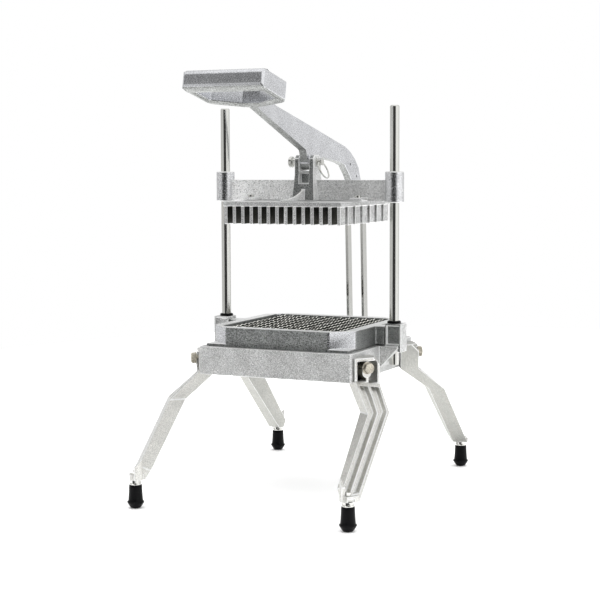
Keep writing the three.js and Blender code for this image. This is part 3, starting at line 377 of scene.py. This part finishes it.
# Rubber feet: radii, heights, then the edges of the toe, ridge and rim
FOOT_TOE, FOOT_RIDGE, FOOT_WAIST, FOOT_TOP, FOOT_BORE = (v * MM for v in (5.6, 11.0, 9.6, 8.5, 4.2))
FOOT_RISE, FOOT_SHOULDER, FOOT_HEIGHT, FOOT_DEPTH = (v * MM for v in (7.6, 2.4, 31.0, 14.0))
TOE_FLAT, TOE_SIDE, TOE_LIFT = 1.4 * MM, 0.6 * MM, 0.25 * MM
TOE_STEPS, TOE_POWER = 8, 0.8
RIDGE_TOP, RIDGE_EDGE, RIDGE_FOOT, WAIST_START = 0.4, 0.55, 0.9, 1.2
RIDGE_IN, WAIST_OUT = 0.3 * MM, 0.25 * MM
WAIST_STEPS, WAIST_HOLLOW = 5, 0.35 * MM * 0.5
RIM_DROP, RIM_IN, RIM_FLAT = 0.35 * MM, 0.3 * MM, 1.2 * MM


def axes_of(forward):
    """Two directions square to the given one and to each other."""
    aside = forward.orthogonal().normalized()
    return aside, forward.cross(aside)


def middle_line(node, direction):
    """The lowest point on a round piece's axis, and its length along the given direction."""
    points = [v.co for v in NODES[node].data.vertices]
    forward = Vector(direction).normalized()
    aside, other = axes_of(forward)
    spans = []
    for way in (aside, other, forward):
        reach = [p.dot(way) for p in points]
        spans.append((min(reach), max(reach)))
    (a0, a1), (b0, b1), (low, high) = spans
    return aside * (a0 + a1) / 2 + other * (b0 + b1) / 2 + forward * low, high - low


def hexagon(limit):
    """The radius of a six-sided head, cut back to a circle of the given radius."""
    def radius(angle):
        turn = (angle + math.pi / 6) % (math.pi / 3) - math.pi / 6
        return min(limit, FLATS / 2 / math.cos(turn))
    return radius


def turned(node, direction, rings, sides=TURNED_SIDES):
    """A piece turned about its CAD node's axis.

    rings are (height, radius), with a radius of 0 at both ends; a radius may depend on the angle."""
    base, _ = middle_line(node, direction)
    forward = Vector(direction).normalized()
    aside, other = axes_of(forward)
    bm = bmesh.new()
    loops = []
    for height, radius in rings:
        centre = base + forward * height
        if radius == 0:
            loops.append([bm.verts.new(centre)])
            continue
        loop = []
        for i in range(sides):
            angle = 2 * math.pi * i / sides
            reach = radius(angle) if callable(radius) else radius
            loop.append(bm.verts.new(
                centre + aside * (reach * math.cos(angle)) + other * (reach * math.sin(angle))
            ))
        loops.append(loop)
    for near, far in zip(loops, loops[1:]):
        for i in range(sides):
            j = (i + 1) % sides
            if len(near) == 1:
                bm.faces.new((near[0], far[j], far[i]))
            elif len(far) == 1:
                bm.faces.new((near[i], near[j], far[0]))
            else:
                bm.faces.new((near[i], near[j], far[j], far[i]))
    bmesh.ops.recalc_face_normals(bm, faces=bm.faces)
    mesh = mesh_of(bm, node + "_form")
    smooth_by_angle(mesh, TURNED_DEGREES)
    shown(node, mesh)


def flanged_bolt(node, direction):
    """A hexagon bolt with a round flange under its head, which lies at the far end."""
    _, length = middle_line(node, direction)
    seat = length - HEAD - BRIM
    corner = FLATS / math.sqrt(3)
    turned(node, direction, [
        (0, 0), (0, SHANK - SHANK_CHAMFER), (SHANK_CHAMFER, SHANK), (seat, SHANK),
        (seat, FLANGE - FLANGE_EDGE), (seat + FLANGE_EDGE, FLANGE),
        (seat + BRIM - BRIM_SLOPE, FLANGE),
        (seat + BRIM, hexagon(corner)),
        (length - CORNER_DROP, hexagon(corner)),
        (length - CORNER_TOP, hexagon(corner - CORNER_CUT)),
        (length - CROWN_DROP, hexagon(FLATS / 2)),
        (length, FLATS / 2 - CROWN_IN), (length - DISH_DEPTH, FLATS / 2 - DISH_IN),
        (length - DISH_DEPTH, 0),
    ], BOLT_SIDES)


def moulded_foot(node):
    """A rubber foot with a rounded toe, a ridge above it and an open top for the stud."""
    rings = [(0, 0), (0, FOOT_TOE - TOE_FLAT), (TOE_LIFT, FOOT_TOE - TOE_SIDE)]
    for i in range(1, TOE_STEPS + 1):
        share = i / TOE_STEPS
        rings.append((FOOT_RISE * share, FOOT_TOE + (FOOT_RIDGE - FOOT_TOE) * share ** TOE_POWER))
    waist = FOOT_RISE + FOOT_SHOULDER * WAIST_START
    rings += [
        (FOOT_RISE + FOOT_SHOULDER * RIDGE_TOP, FOOT_RIDGE),
        (FOOT_RISE + FOOT_SHOULDER * RIDGE_EDGE, FOOT_RIDGE - RIDGE_IN),
        (FOOT_RISE + FOOT_SHOULDER * RIDGE_FOOT, FOOT_WAIST + WAIST_OUT),
        (waist, FOOT_WAIST),
    ]
    for i in range(1, WAIST_STEPS + 1):
        share = i / WAIST_STEPS
        rings.append((
            waist + share * (FOOT_HEIGHT - waist - RIM_FLAT),
            FOOT_WAIST + (FOOT_TOP - FOOT_WAIST) * share - WAIST_HOLLOW * math.sin(math.pi * share),
        ))
    rings += [
        (FOOT_HEIGHT - RIM_DROP, FOOT_TOP - RIM_IN), (FOOT_HEIGHT, FOOT_TOP - RIM_FLAT),
        (FOOT_HEIGHT, FOOT_BORE), (FOOT_HEIGHT - FOOT_DEPTH, FOOT_BORE),
        (FOOT_HEIGHT - FOOT_DEPTH, 0),
    ]
    turned(node, UP, rings)


# Blades

ALONG_X, ALONG_Y = 0, 1
CELL = 12.7 * MM
SCALLOP_STEPS, SCALLOP_DEPTH, SCALLOP_POWER = 8, 1.8 * MM, 0.8
HONED_HEIGHT, CREST_SHARE, HONED_FACES = 0.5 * MM, 0.8, (1, 2, 3)
BLADE_DEGREES = 20


def ground_blade(node, run):
    """A thin steel strip whose scalloped upper edge is ground from both sides."""
    low, high = box_of(node)
    cross = 1 - run
    middle = (low[cross] + high[cross]) / 2
    half = (high[cross] - low[cross]) / 2
    length = high[run] - low[run]
    waves = round(length / CELL)
    steps = waves * SCALLOP_STEPS
    bm = bmesh.new()
    rings = []
    for i in range(steps + 1):
        share = i / steps
        phase = (share * waves) % 1.0
        dip = 1.0 - abs(math.cos(math.pi * phase)) ** SCALLOP_POWER
        crest = high.z - SCALLOP_DEPTH * dip
        along = low[run] + share * length
        ring = []
        for side, height in (
            (-1, low.z), (-1, crest - HONED_HEIGHT), (-CREST_SHARE, crest),
            (CREST_SHARE, crest), (1, crest - HONED_HEIGHT), (1, low.z),
        ):
            point = Vector((0, 0, height))
            point[run] = along
            point[cross] = middle + side * half
            ring.append(bm.verts.new(point))
        rings.append(ring)
    for near, far in zip(rings, rings[1:]):
        for k, _ in enumerate(near):
            after = (k + 1) % len(near)
            face = bm.faces.new((near[k], near[after], far[after], far[k]))
            # The ground crest faces take the bright second look, a painted highlight; the sides keep
            # the near-black steel, painted shade of the gaps between blades.
            face.material_index = 1 if k in HONED_FACES else 0
    bm.faces.new(rings[0])
    bm.faces.new(reversed(rings[-1]))
    bmesh.ops.recalc_face_normals(bm, faces=bm.faces)
    mesh = mesh_of(bm, node + "_form")
    smooth_by_angle(mesh, BLADE_DEGREES)
    shown(node, mesh, more=["honed_crest_highlight"])


# Solids made by adding and cutting, in millimetres

def solid_of(rings):
    """A closed mesh through rings that have the same number of points."""
    bm = bmesh.new()
    rows = [[bm.verts.new(point) for point in ring] for ring in rings]
    for near, far in zip(rows, rows[1:]):
        for i, _ in enumerate(near):
            j = (i + 1) % len(near)
            bm.faces.new((near[i], near[j], far[j], far[i]))
    bm.faces.new(rows[0])
    bm.faces.new(rows[-1])
    bmesh.ops.recalc_face_normals(bm, faces=bm.faces)
    bmesh.ops.triangulate(bm, faces=bm.faces)
    return mesh_of(bm, "solid")


def block(outline, low, high):
    """An upright block over an outline of (x, y), between two heights."""
    return solid_of([[Vector((x, y, z)) for x, y in outline] for z in (low, high)])


def prism(radius, start, end, sides):
    """A round bar from one point to another."""
    aside, other = axes_of((end - start).normalized())
    turns = [2 * math.pi * i / sides for i in range(sides)]
    return solid_of([[
        centre + aside * (radius * math.cos(turn)) + other * (radius * math.sin(turn))
        for turn in turns
    ] for centre in (start, end)])


def combined(mesh, operation, *others):
    """A mesh after a boolean step with each of the others."""
    for other in others:
        pair = [bpy.data.objects.new("solid", data) for data in (mesh, other)]
        for made in pair:
            bpy.context.scene.collection.objects.link(made)
        step = pair[0].modifiers.new("step", "BOOLEAN")
        step.operation = operation
        step.solver = "EXACT"
        step.object = pair[1]
        done = pair[0].evaluated_get(bpy.context.evaluated_depsgraph_get())
        mesh = bpy.data.meshes.new_from_object(done)
        for made in pair:
            bpy.data.objects.remove(made)
    return mesh


# The leg at the corner +X +Y, in millimetres from the stud's axis on the floor: the directions out
# of the corner and across the leg, the middles of its outer face at each level, then the widths,
# depths and drafts there. Cuts start OVERRUN outside what they cut.
OUT_TURN = math.radians(34)
OUT = Vector((math.cos(OUT_TURN), math.sin(OUT_TURN), 0))
ALONG = Vector((math.sin(OUT_TURN), -math.cos(OUT_TURN), 0))
OVERRUN = 3
LEG_BEND = Vector((-25.35, -124.1, 165.2))
LEG_TOP = LEG_BEND + Vector((0, 0, 31.5))
LEG_KNEE = Vector((2.55, -94.0, 131))
LEG_END = Vector((3.65, 7.1, 37))
TOP_WIDTH, TOP_DEPTH, TOP_TILT, TOP_DRAFT = 39, 26, 6, 4
KNEE_WIDTH, KNEE_DEPTH, KNEE_DRAFT = 33.6, 21.5, 2
END_WIDTH, END_DEPTH, END_DRAFT = 32, 20, 6.5
LEG_FRONT, LEG_TOE, LEG_REACH = 1.5, 3, 4 * TOP_WIDTH
RIB, RIBS = 4, 3
GROOVE_DEPTH, GROOVE_DRAFT, GROOVE_TOE, GROOVE_ROOF, GROOVE_SHARE = 8, 1.5, 5, 5, 0.905
BOSS_RADIUS, BOSS_HEIGHT, BOSS_SLOPE, BOSS_FRONT, BOSS_SIDES = 10.6, 20, 0.9, 2, 32
LIP_OUT, LIP_HEIGHT, LIP_WIDTH, LIP_SHIFT = 7.8, 7.5, 17, 3
RECESS_IN, RECESS_WIDTH, RECESS_HEIGHT = 5.0, 10, 4
HEAD_ROOF, HEAD_CUT, HEAD_CUT_SIDES = 4.5, 11, 6
BOLT_BOSS, BOLT_RISE, BOLT_DROP, BOLT_SHIFT, BOLT_BOSS_SIDES = 7, 2, 12.7, 2, 24
BASE_SIDE, BASE_END = -39.45, -101.5


def leg_ring(face, width, depth, tilt=0.0, draft=0.0):
    """A level of the leg, given by its outer face's middle, tilted across the leg, narrower behind."""
    ring = []
    for side, back in ((-1, 0), (-1, 1), (1, 1), (1, 0)):
        point = face + ALONG * (side * (width / 2 - back * draft)) - OUT * (back * depth)
        ring.append(point - UP * (side * tilt / 2))
    return ring


def upright(face, width, depth, low, high):
    """An upright block behind a face's middle."""
    return solid_of([leg_ring(Vector((face.x, face.y, z)), width, depth) for z in (low, high)])


def beside_foot(gap):
    """The room beside the foot, from this far off the stud's axis, up to the knee."""
    face = OUT * TOP_DEPTH - ALONG * (gap + TOP_WIDTH / 2)
    return upright(face, TOP_WIDTH, 2 * TOP_DEPTH, 0, LEG_KNEE.z)


def foot_block(inner, outer, width, low, high, shift=0.0):
    """An upright block at the leg's foot, between two distances off the stud's axis."""
    return upright(OUT * outer + ALONG * shift, width, outer - inner, low, high)


def leg_groove(side):
    """One of the two long grooves between the middle rib and a side wall."""
    share = GROOVE_ROOF / (LEG_BEND.z - LEG_KNEE.z)
    rings = []
    for face, width, tilt in (
        (LEG_KNEE.lerp(LEG_END, GROOVE_SHARE), END_WIDTH, 0), (LEG_KNEE, KNEE_WIDTH, 0),
        (LEG_BEND.lerp(LEG_KNEE, share), TOP_WIDTH, TOP_TILT),
    ):
        opened = (width - RIBS * RIB) / 2
        shift = side * (opened + RIB) / 2
        middle = face + ALONG * shift + OUT * OVERRUN - UP * (tilt * shift / width)
        depth = GROOVE_DEPTH + OVERRUN
        rings.append(leg_ring(middle, opened, depth, tilt * opened / width, GROOVE_DRAFT))
    return combined(solid_of(rings), "DIFFERENCE", beside_foot(GROOVE_TOE))


def head_pocket(side):
    """One of the two pockets in the leg's upright head, beside its bolt."""
    opened = (TOP_WIDTH - RIBS * RIB) / 2
    shift = side * (opened + RIB) / 2
    face = LEG_BEND + ALONG * shift + OUT * OVERRUN
    low = face.z - TOP_TILT * shift / TOP_WIDTH
    return upright(face, opened, TOP_DEPTH + OVERRUN, low, LEG_TOP.z - HEAD_ROOF)


def foot_boss():
    """The upright boss for the stud, with a top that slants down away from the base."""
    reach = 2 * BOSS_RADIUS
    foot = UP * LEG_END.z
    around = [(-1, 1), (-1, -1), (1, -1), (1, 1)]
    room = solid_of([
        [foot + (ALONG * side + OUT * out) * reach - UP * OVERRUN for side, out in around],
        [foot + (ALONG * side + OUT * out) * reach + UP * (BOSS_HEIGHT - out * BOSS_SLOPE * reach)
         for side, out in around],
    ])
    boss = prism(BOSS_RADIUS, foot, UP * LEG_BEND.z, BOSS_SIDES)
    front = foot_block(BOSS_FRONT, TOP_DEPTH, TOP_WIDTH, foot.z - OVERRUN, LEG_KNEE.z)
    channel = foot_block(-TOP_DEPTH, TOP_DEPTH, TOP_WIDTH, foot.z + LIP_HEIGHT, LEG_KNEE.z,
                         TOP_WIDTH / 2 - GROOVE_TOE)
    return combined(combined(boss, "INTERSECT", room), "DIFFERENCE", front, channel)


def leg_form():
    """The whole leg: a bent column, open in front between three ribs, under an upright head."""
    column = solid_of([
        leg_ring(LEG_END, END_WIDTH, END_DEPTH, 0, END_DRAFT),
        leg_ring(LEG_KNEE, KNEE_WIDTH, KNEE_DEPTH, 0, KNEE_DRAFT),
        leg_ring(LEG_BEND, TOP_WIDTH, TOP_DEPTH, TOP_TILT, TOP_DRAFT),
        leg_ring(LEG_TOP, TOP_WIDTH, TOP_DEPTH),
    ])
    reach = LEG_REACH
    front = block(
        ((-reach, LEG_FRONT), (reach, LEG_FRONT), (reach, reach), (-reach, reach)), 0, LEG_BEND.z
    )
    low = LEG_END.z
    lip_shift = LIP_WIDTH / 2 - LIP_SHIFT - LEG_TOE
    lip = foot_block(0, LIP_OUT, LIP_WIDTH, low, low + LIP_HEIGHT, lip_shift)
    recess = foot_block(RECESS_IN, 2 * LIP_OUT, RECESS_WIDTH, low - OVERRUN, low + RECESS_HEIGHT)
    corner = LEG_TOP + ALONG * (TOP_WIDTH / 2)
    lean = (ALONG + OUT + UP) / 3
    middle = corner - lean * HEAD_CUT
    chop = prism(2 * HEAD_CUT, middle, middle + lean.normalized() * 2 * HEAD_CUT, HEAD_CUT_SIDES)
    base_rear = BASE_END + TOP_DEPTH
    base_room = block(
        ((-reach, -2 * reach), (BASE_SIDE, -2 * reach), (BASE_SIDE, base_rear), (-reach, base_rear)),
        LEG_BEND.z, LEG_TOP.z + OVERRUN,
    )
    bolt = LEG_BEND - ALONG * BOLT_SHIFT + UP * BOLT_DROP
    bolt_boss = prism(
        BOLT_BOSS, bolt - OUT * (TOP_DEPTH - 1), bolt + OUT * BOLT_RISE, BOLT_BOSS_SIDES
    )
    leg = combined(column, "DIFFERENCE", front, beside_foot(LEG_TOE))
    leg = combined(leg, "UNION", foot_boss(), lip)
    leg = combined(leg, "DIFFERENCE", leg_groove(-1), leg_groove(1), recess, head_pocket(-1),
                   head_pocket(1), chop)
    leg = combined(leg, "UNION", bolt_boss)
    return combined(leg, "DIFFERENCE", base_room)


def signs_of(corner):
    """The sides of the middle that a corner lies on, in X and in Y."""
    return 1 if "right" in corner else -1, 1 if "rear" in corner else -1


def at_corner(form, corner):
    """A copy of a form in metres, mirrored to a corner and set on its foot's axis."""
    low, high = box_of("foot_" + corner)
    side, end = signs_of(corner)
    bm = bmesh.new()
    bm.from_mesh(form)
    for vert in bm.verts:
        vert.co = Vector((
            (low.x + high.x) / 2 + side * vert.co.x * MM,
            (low.y + high.y) / 2 + end * vert.co.y * MM,
            vert.co.z * MM,
        ))
    if side * end < 0:
        bmesh.ops.reverse_faces(bm, faces=bm.faces)
    return mesh_of(bm, "leg_" + corner)


# The lever's handle, in millimetres along its slab and square to it, at rest
SLAB_LEAN = math.radians(12.4)
SLAB_ALONG = Vector((0, -math.cos(SLAB_LEAN), math.sin(SLAB_LEAN)))
SLAB_UP = Vector((0, math.sin(SLAB_LEAN), math.cos(SLAB_LEAN)))
BAR_FRONT, BAR_LOW, BAR_HIGH, BAR_DEPTH, BAR_ROUND = 347.72, 473.14, 499.14, 15, 9
BAR_HALF, BAR_CORNER, BAR_BEVEL, BAR_STEPS, BAR_OVERLAP = 55.5, 3, 2.5, 8, 1


def on_slab(x, reach, height):
    return Vector((x, 0, 0)) + SLAB_ALONG * reach + SLAB_UP * height


def lever_form():
    """The lever arm with its grip made round in front."""
    rear = BAR_FRONT - BAR_DEPTH
    outline = [(rear, BAR_HIGH), (rear, BAR_LOW)]
    for height, start in ((BAR_LOW + BAR_ROUND, -math.pi / 2), (BAR_HIGH - BAR_ROUND, 0.0)):
        for i in range(BAR_STEPS + 1):
            turn = start + math.pi / 2 * i / BAR_STEPS
            outline.append((BAR_FRONT - BAR_ROUND + BAR_ROUND * math.cos(turn),
                            height + BAR_ROUND * math.sin(turn)))
    rings = []
    for x, back, inset in (
        (-BAR_HALF, BAR_CORNER, BAR_BEVEL), (BAR_BEVEL - BAR_HALF, BAR_CORNER - BAR_BEVEL, 0),
        (BAR_HALF - BAR_BEVEL, BAR_CORNER - BAR_BEVEL, 0), (BAR_HALF, BAR_CORNER, BAR_BEVEL),
    ):
        rings.append([
            on_slab(x, min(reach, BAR_FRONT - back),
                    min(max(height, BAR_LOW + inset), BAR_HIGH - inset))
            for reach, height in outline
        ])
    wide = 2 * BAR_HALF
    split = rear + BAR_OVERLAP
    room = solid_of([[
        on_slab(x, reach, height)
        for reach, height in ((split, BAR_LOW - wide), (BAR_FRONT + wide, BAR_LOW - wide),
                              (BAR_FRONT + wide, BAR_HIGH + wide), (split, BAR_HIGH + wide))
    ] for x in (-wide, wide)])
    arm = NODES["lever_arm"].data.copy()
    arm.transform(Matrix.Scale(1 / MM, 4))
    arm = combined(combined(arm, "DIFFERENCE", room), "UNION", solid_of(rings))
    arm.transform(Matrix.Scale(MM, 4))
    return arm


# Tests that pick faces for a further look, most of them painted shade and painted light, and the tray's
# edges by width

pusher_low, pusher_high = box_of("pusher_head")
base_low, base_high = box_of("base_casting")
rod_low, rod_high = box_of("guide_rod_right")
ROD_X = (rod_low.x + rod_high.x) / 2
BASE_HALF_X = 111 * MM
CORNER_X, CORNER_Y, CORNER_HEIGHT = 34 * MM, 46 * MM, 34 * MM
TOWER_FOOT = 36 * MM
OUTER_ROW = 6 * MM
TUBE_REACH = 15 * MM
CLEVIS_REACH = 20 * MM
RIM_DEPTH = 4 * MM
LEG_POCKET_HALF = (TOP_WIDTH / 2 - 5) * MM
TALL_EDGE, TALL_WIDTH, TRAY_WIDTH = 20 * MM, 2.6 * MM, 1.0 * MM

# How far a normal or an edge points along an axis: nearly all the way, mostly, or aslant
NEARLY, MOSTLY, HALF, DOWNWARD, ASLANT = 0.9, 0.7, 0.5, 0.35, 0.3


def tray_width(edge):
    """The tray's upright corners are rounded far more than its rims."""
    first, second = (v.co for v in edge.verts)
    tall = abs((second - first).normalized().z) > NEARLY and edge.calc_length() > TALL_EDGE
    return TALL_WIDTH if tall else TRAY_WIDTH


def in_corner_pocket(face):
    """Faces of the base inside the corner hollows that take the legs' heads, which get painted shade.
    """
    x, y, z = face.calc_center_median()
    in_front = base_low.y + MM < y < base_low.y + CORNER_Y
    behind = base_high.y - CORNER_Y < y < base_high.y - MM
    beside = BASE_HALF_X - CORNER_X < abs(x) < BASE_HALF_X - MM
    return beside and (in_front or behind) and z < base_low.z + CORNER_HEIGHT


def leg_pocket(corner, outward):
    """A test for the faces of a leg's head behind its outer rim, which get painted shade."""
    low, high = box_of("foot_" + corner)
    axis = (low + high) / 2
    sideways = outward.cross(UP)
    head = [v.co for v in NODES["leg_" + corner].data.vertices if v.co.z > base_low.z]
    across = [(point - axis).dot(sideways) for point in head]
    shift = (min(across) + max(across)) / 2
    rim = max(point.dot(outward) for point in head) - RIM_DEPTH

    def test(face):
        middle = face.calc_center_median()
        inside = abs((middle - axis).dot(sideways) - shift) < LEG_POCKET_HALF
        inside = inside and middle.dot(outward) < rim and middle.z > base_low.z + MM
        return inside and abs(face.normal.z) < NEARLY

    return test


def on_tube(face):
    """The round faces of the beam's two tubes."""
    middle = face.calc_center_median()
    return abs(abs(middle.x) - ROD_X) < TUBE_REACH and abs(face.normal.z) < HALF


def clevis_front_shade(face):
    """The front of the clevis in the middle of the beam, darkened with the tray's look as painted
    shade.
    """
    return abs(face.calc_center_median().x) < CLEVIS_REACH and face.normal.y < -MOSTLY


def rim_highlight(face):
    """The tray's flat top faces, which get a painted highlight."""
    return face.normal.z > NEARLY


def facet_light(face):
    """The tray's slanting corners, made lighter as painted light."""
    return min(abs(face.normal.x), abs(face.normal.y)) > ASLANT


def tower_front_shade(face):
    """The front of the right tower, darkened with the tray's look as painted shade."""
    x, _, z = face.calc_center_median()
    return x > BASE_HALF_X + MM and face.normal.y < -NEARLY and z > base_low.z + TOWER_FOOT


def underside_shade_faces(face):
    """The faces of the lever that look down, which get painted shade."""
    return face.normal.z < -DOWNWARD


def finger_shade_faces(face):
    """Faces of the pusher between its outer rows of fingers, which get painted shade."""
    middle = face.calc_center_median()
    inner = all(
        pusher_low[k] + OUTER_ROW < middle[k] < pusher_high[k] - OUTER_ROW for k in range(2)
    )
    return inner and middle.z < pusher_high.z - OUTER_ROW


# All pieces: the castings, then the legs with their fittings, the blades, the pairs and the rest

# Painted shade goes on by face in the base's corner hollows, on the tower and clevis fronts, between
# the pusher's fingers and under the lever. Painted highlights go on edges and the tray's rims, and
# painted light on the tray's slanting corners.
refined("base_casting", 0.9 * MM, edge="edge",
        inside={"recess_shade": in_corner_pocket, "tray": tower_front_shade})
refined("blade_tray", tray_width, 3, look="tray", inside={"edge": rim_highlight, "polish_and_facet_light": facet_light})
refined("crossbeam", 1.0 * MM, look="beam", edge="edge",
        inside={"bored": on_tube, "tray": clevis_front_shade})
refined("pusher_head", 0.8 * MM, edge="edge", inside={"inner": finger_shade_faces})
refined("lever_arm", 1.2 * MM, 3, look="polish_and_facet_light", inside={"underside_shade": underside_shade_faces},
        form=lever_form())
refined("link_bracket", 0.8 * MM, edge="edge")
whole_leg = leg_form()
for corner in CORNERS:
    side, end = signs_of(corner)
    outward = Vector((side * math.cos(OUT_TURN), end * math.sin(OUT_TURN), 0))
    # The rear legs take a darker copy of the leg look, a painted shade.
    refined("leg_" + corner, 1.0 * MM, look="leg" if end < 0 else "rear_leg_shade", edge="edge",
            inside={"recess_shade": leg_pocket(corner, outward)}, form=at_corner(whole_leg, corner))
    flanged_bolt("leg_bolt_" + corner, outward)
    moulded_foot("foot_" + corner)
    refined("foot_stud_" + corner, 0.3 * MM)
for number in range(1, LENGTHWISE_BLADES + 1):
    ground_blade(f"blade_lengthwise_{number}", ALONG_Y)
for number in range(1, CROSSWISE_BLADES + 1):
    ground_blade(f"blade_crosswise_{number}", ALONG_X)
for side in SIDES:
    refined("guide_rod_" + side, 0.3 * MM)
    refined("rod_bumper_" + side, 0.6 * MM, 3)
    refined("rod_sleeve_" + side, 0.2 * MM)
    refined("head_screw_" + side, 0.2 * MM)
    flanged_bolt("bracket_bolt_" + side, (0, 1, 0))
    refined("bracket_pin_" + side, 0.4 * MM)
    refined("link_bar_" + side, 0.3 * MM)
refined("link_top_pin", 0.4 * MM)
refined("link_foot_pin", 0.3 * MM)
refined("clevis_pin", 0.5 * MM)
refined("pin_ring", 0.1 * MM, degrees=75)
refined("lever_bushing", 0.2 * MM)


# Room, light and camera

FLOOR_RADIUS, FLOOR_SIDES, FLOOR_MIDDLE = 1.35, 96, (0.0, 0.70, 0.0)
FLOOR_GREY, FLOOR_ROUGHNESS, FLOOR_SPECULAR, FLOOR_GLOW = 0.98, 0.9, 0.1, 0.06
ROOM_LIGHT = 0.80

# (direction, where it starts, where it is full, light added): brighter right and above, darker left
ROOM_SIDES = (
    ((1.0, 0.0, 0.0), (0.55, 0.95), 0.34),
    ((-1.0, 0.0, 0.0), (0.3, 0.9), -0.12),
    ((0.0, 0.0, 1.0), (0.55, 0.95), 0.30),
)
# (direction, where it starts, where it is full, light left): the dark behind the camera and above it
ROOM_DARKS = (
    ((0.235, -0.941, -0.242), (0.745, 0.857), 0.06),
    ((-0.373, -0.800, 0.469), (0.925, 0.99), 0.22),
)
LIGHT_PLACE, LIGHT_AIM, LIGHT_SIZE, LIGHT_WATTS = (0.1, 0.2, 2.6), (0.1, 0.2, 0), 5.0, 112
SENSOR_WIDTH, CAMERA_LENS = 36.0, 87.0725
CAMERA_PLACE = Vector((0.829514, -1.798280, 0.445247))
CAMERA_RIGHT = Vector((0.906950, 0.421226, -0.003096))
CAMERA_UP = Vector((-0.036299, 0.085473, 0.995679))
CAMERA_BACK = Vector((0.419671, -0.902919, 0.092810))


def make_floor():
    bm = bmesh.new()
    bmesh.ops.create_circle(bm, cap_ends=True, segments=FLOOR_SIDES, radius=FLOOR_RADIUS)
    bmesh.ops.translate(bm, verts=bm.verts, vec=FLOOR_MIDDLE)
    mesh = mesh_of(bm, "floor")
    floor = bpy.data.objects.new("floor", mesh)
    bpy.context.scene.collection.objects.link(floor)
    material = bpy.data.materials.new("floor_white")
    material.use_nodes = True
    shader = material.node_tree.nodes["Principled BSDF"]
    shader.inputs["Base Color"].default_value = grey(FLOOR_GREY)
    shader.inputs["Roughness"].default_value = FLOOR_ROUGHNESS
    shader.inputs["Specular IOR Level"].default_value = FLOOR_SPECULAR
    shader.inputs["Emission Color"].default_value = grey(1.0)
    shader.inputs["Emission Strength"].default_value = FLOOR_GLOW
    mesh.materials.append(material)


def toward(tree, place, direction, span, low, high):
    """A factor that goes from low to high as a view of the room nears the given direction."""
    turned_to = add(tree, "ShaderNodeVectorMath", {0: place, 1: direction}, operation="DOT_PRODUCT")
    return remap(tree, turned_to.outputs["Value"], span, low, high, smooth=True)


def make_world():
    """A white room with a dark end where the camera stands, for the metal to mirror."""
    world = bpy.data.worlds.new("studio")
    bpy.context.scene.world = world
    world.use_nodes = True
    tree = world.node_tree
    tree.nodes.clear()
    place = add(tree, "ShaderNodeTexCoord").outputs["Generated"]
    right, left, above = (toward(tree, place, way, span, 0.0, extra) for way, span, extra in ROOM_SIDES)
    sides = math_node(tree, "ADD", math_node(tree, "ADD", right, left), above)
    bright = math_node(tree, "ADD", sides, ROOM_LIGHT)
    dark, canopy = (toward(tree, place, way, span, 1.0, rest) for way, span, rest in ROOM_DARKS)
    room = math_node(tree, "MULTIPLY", bright, math_node(tree, "MULTIPLY", dark, canopy))
    seen = add(tree, "ShaderNodeLightPath").outputs["Is Camera Ray"]
    mixed = add(tree, "ShaderNodeMix", data_type="FLOAT")
    tree.links.new(seen, mixed.inputs["Factor"])
    tree.links.new(room, mixed.inputs[NUMBER_A])
    mixed.inputs[NUMBER_B].default_value = 1.0
    back = add(tree, "ShaderNodeBackground", {"Color": grey(1.0)})
    tree.links.new(mixed.outputs[NUMBER_OUT], back.inputs["Strength"])
    out = add(tree, "ShaderNodeOutputWorld")
    tree.links.new(back.outputs[0], out.inputs[0])


def make_light():
    """A wide soft light over the part that the metal doesn't mirror."""
    data = bpy.data.lights.new("floor_wash", "AREA")
    data.shape = "RECTANGLE"
    data.size = LIGHT_SIZE
    data.size_y = LIGHT_SIZE
    data.energy = LIGHT_WATTS
    lamp = bpy.data.objects.new("floor_wash", data)
    lamp.location = LIGHT_PLACE
    aim = Vector(LIGHT_AIM) - Vector(LIGHT_PLACE)
    lamp.rotation_euler = aim.to_track_quat("-Z", "Y").to_euler()
    lamp.visible_glossy = False
    bpy.context.scene.collection.objects.link(lamp)


def make_camera():
    data = bpy.data.cameras.new("camera")
    data.sensor_width = SENSOR_WIDTH
    data.lens = CAMERA_LENS
    camera = bpy.data.objects.new("camera", data)
    turn = Matrix((CAMERA_RIGHT, CAMERA_UP, CAMERA_BACK)).transposed().to_4x4()
    camera.matrix_world = Matrix.Translation(CAMERA_PLACE) @ turn
    bpy.context.scene.collection.objects.link(camera)
    bpy.context.scene.camera = camera


make_floor()
make_world()
make_light()
make_camera()
bpy.context.scene.view_settings.view_transform = "Standard"
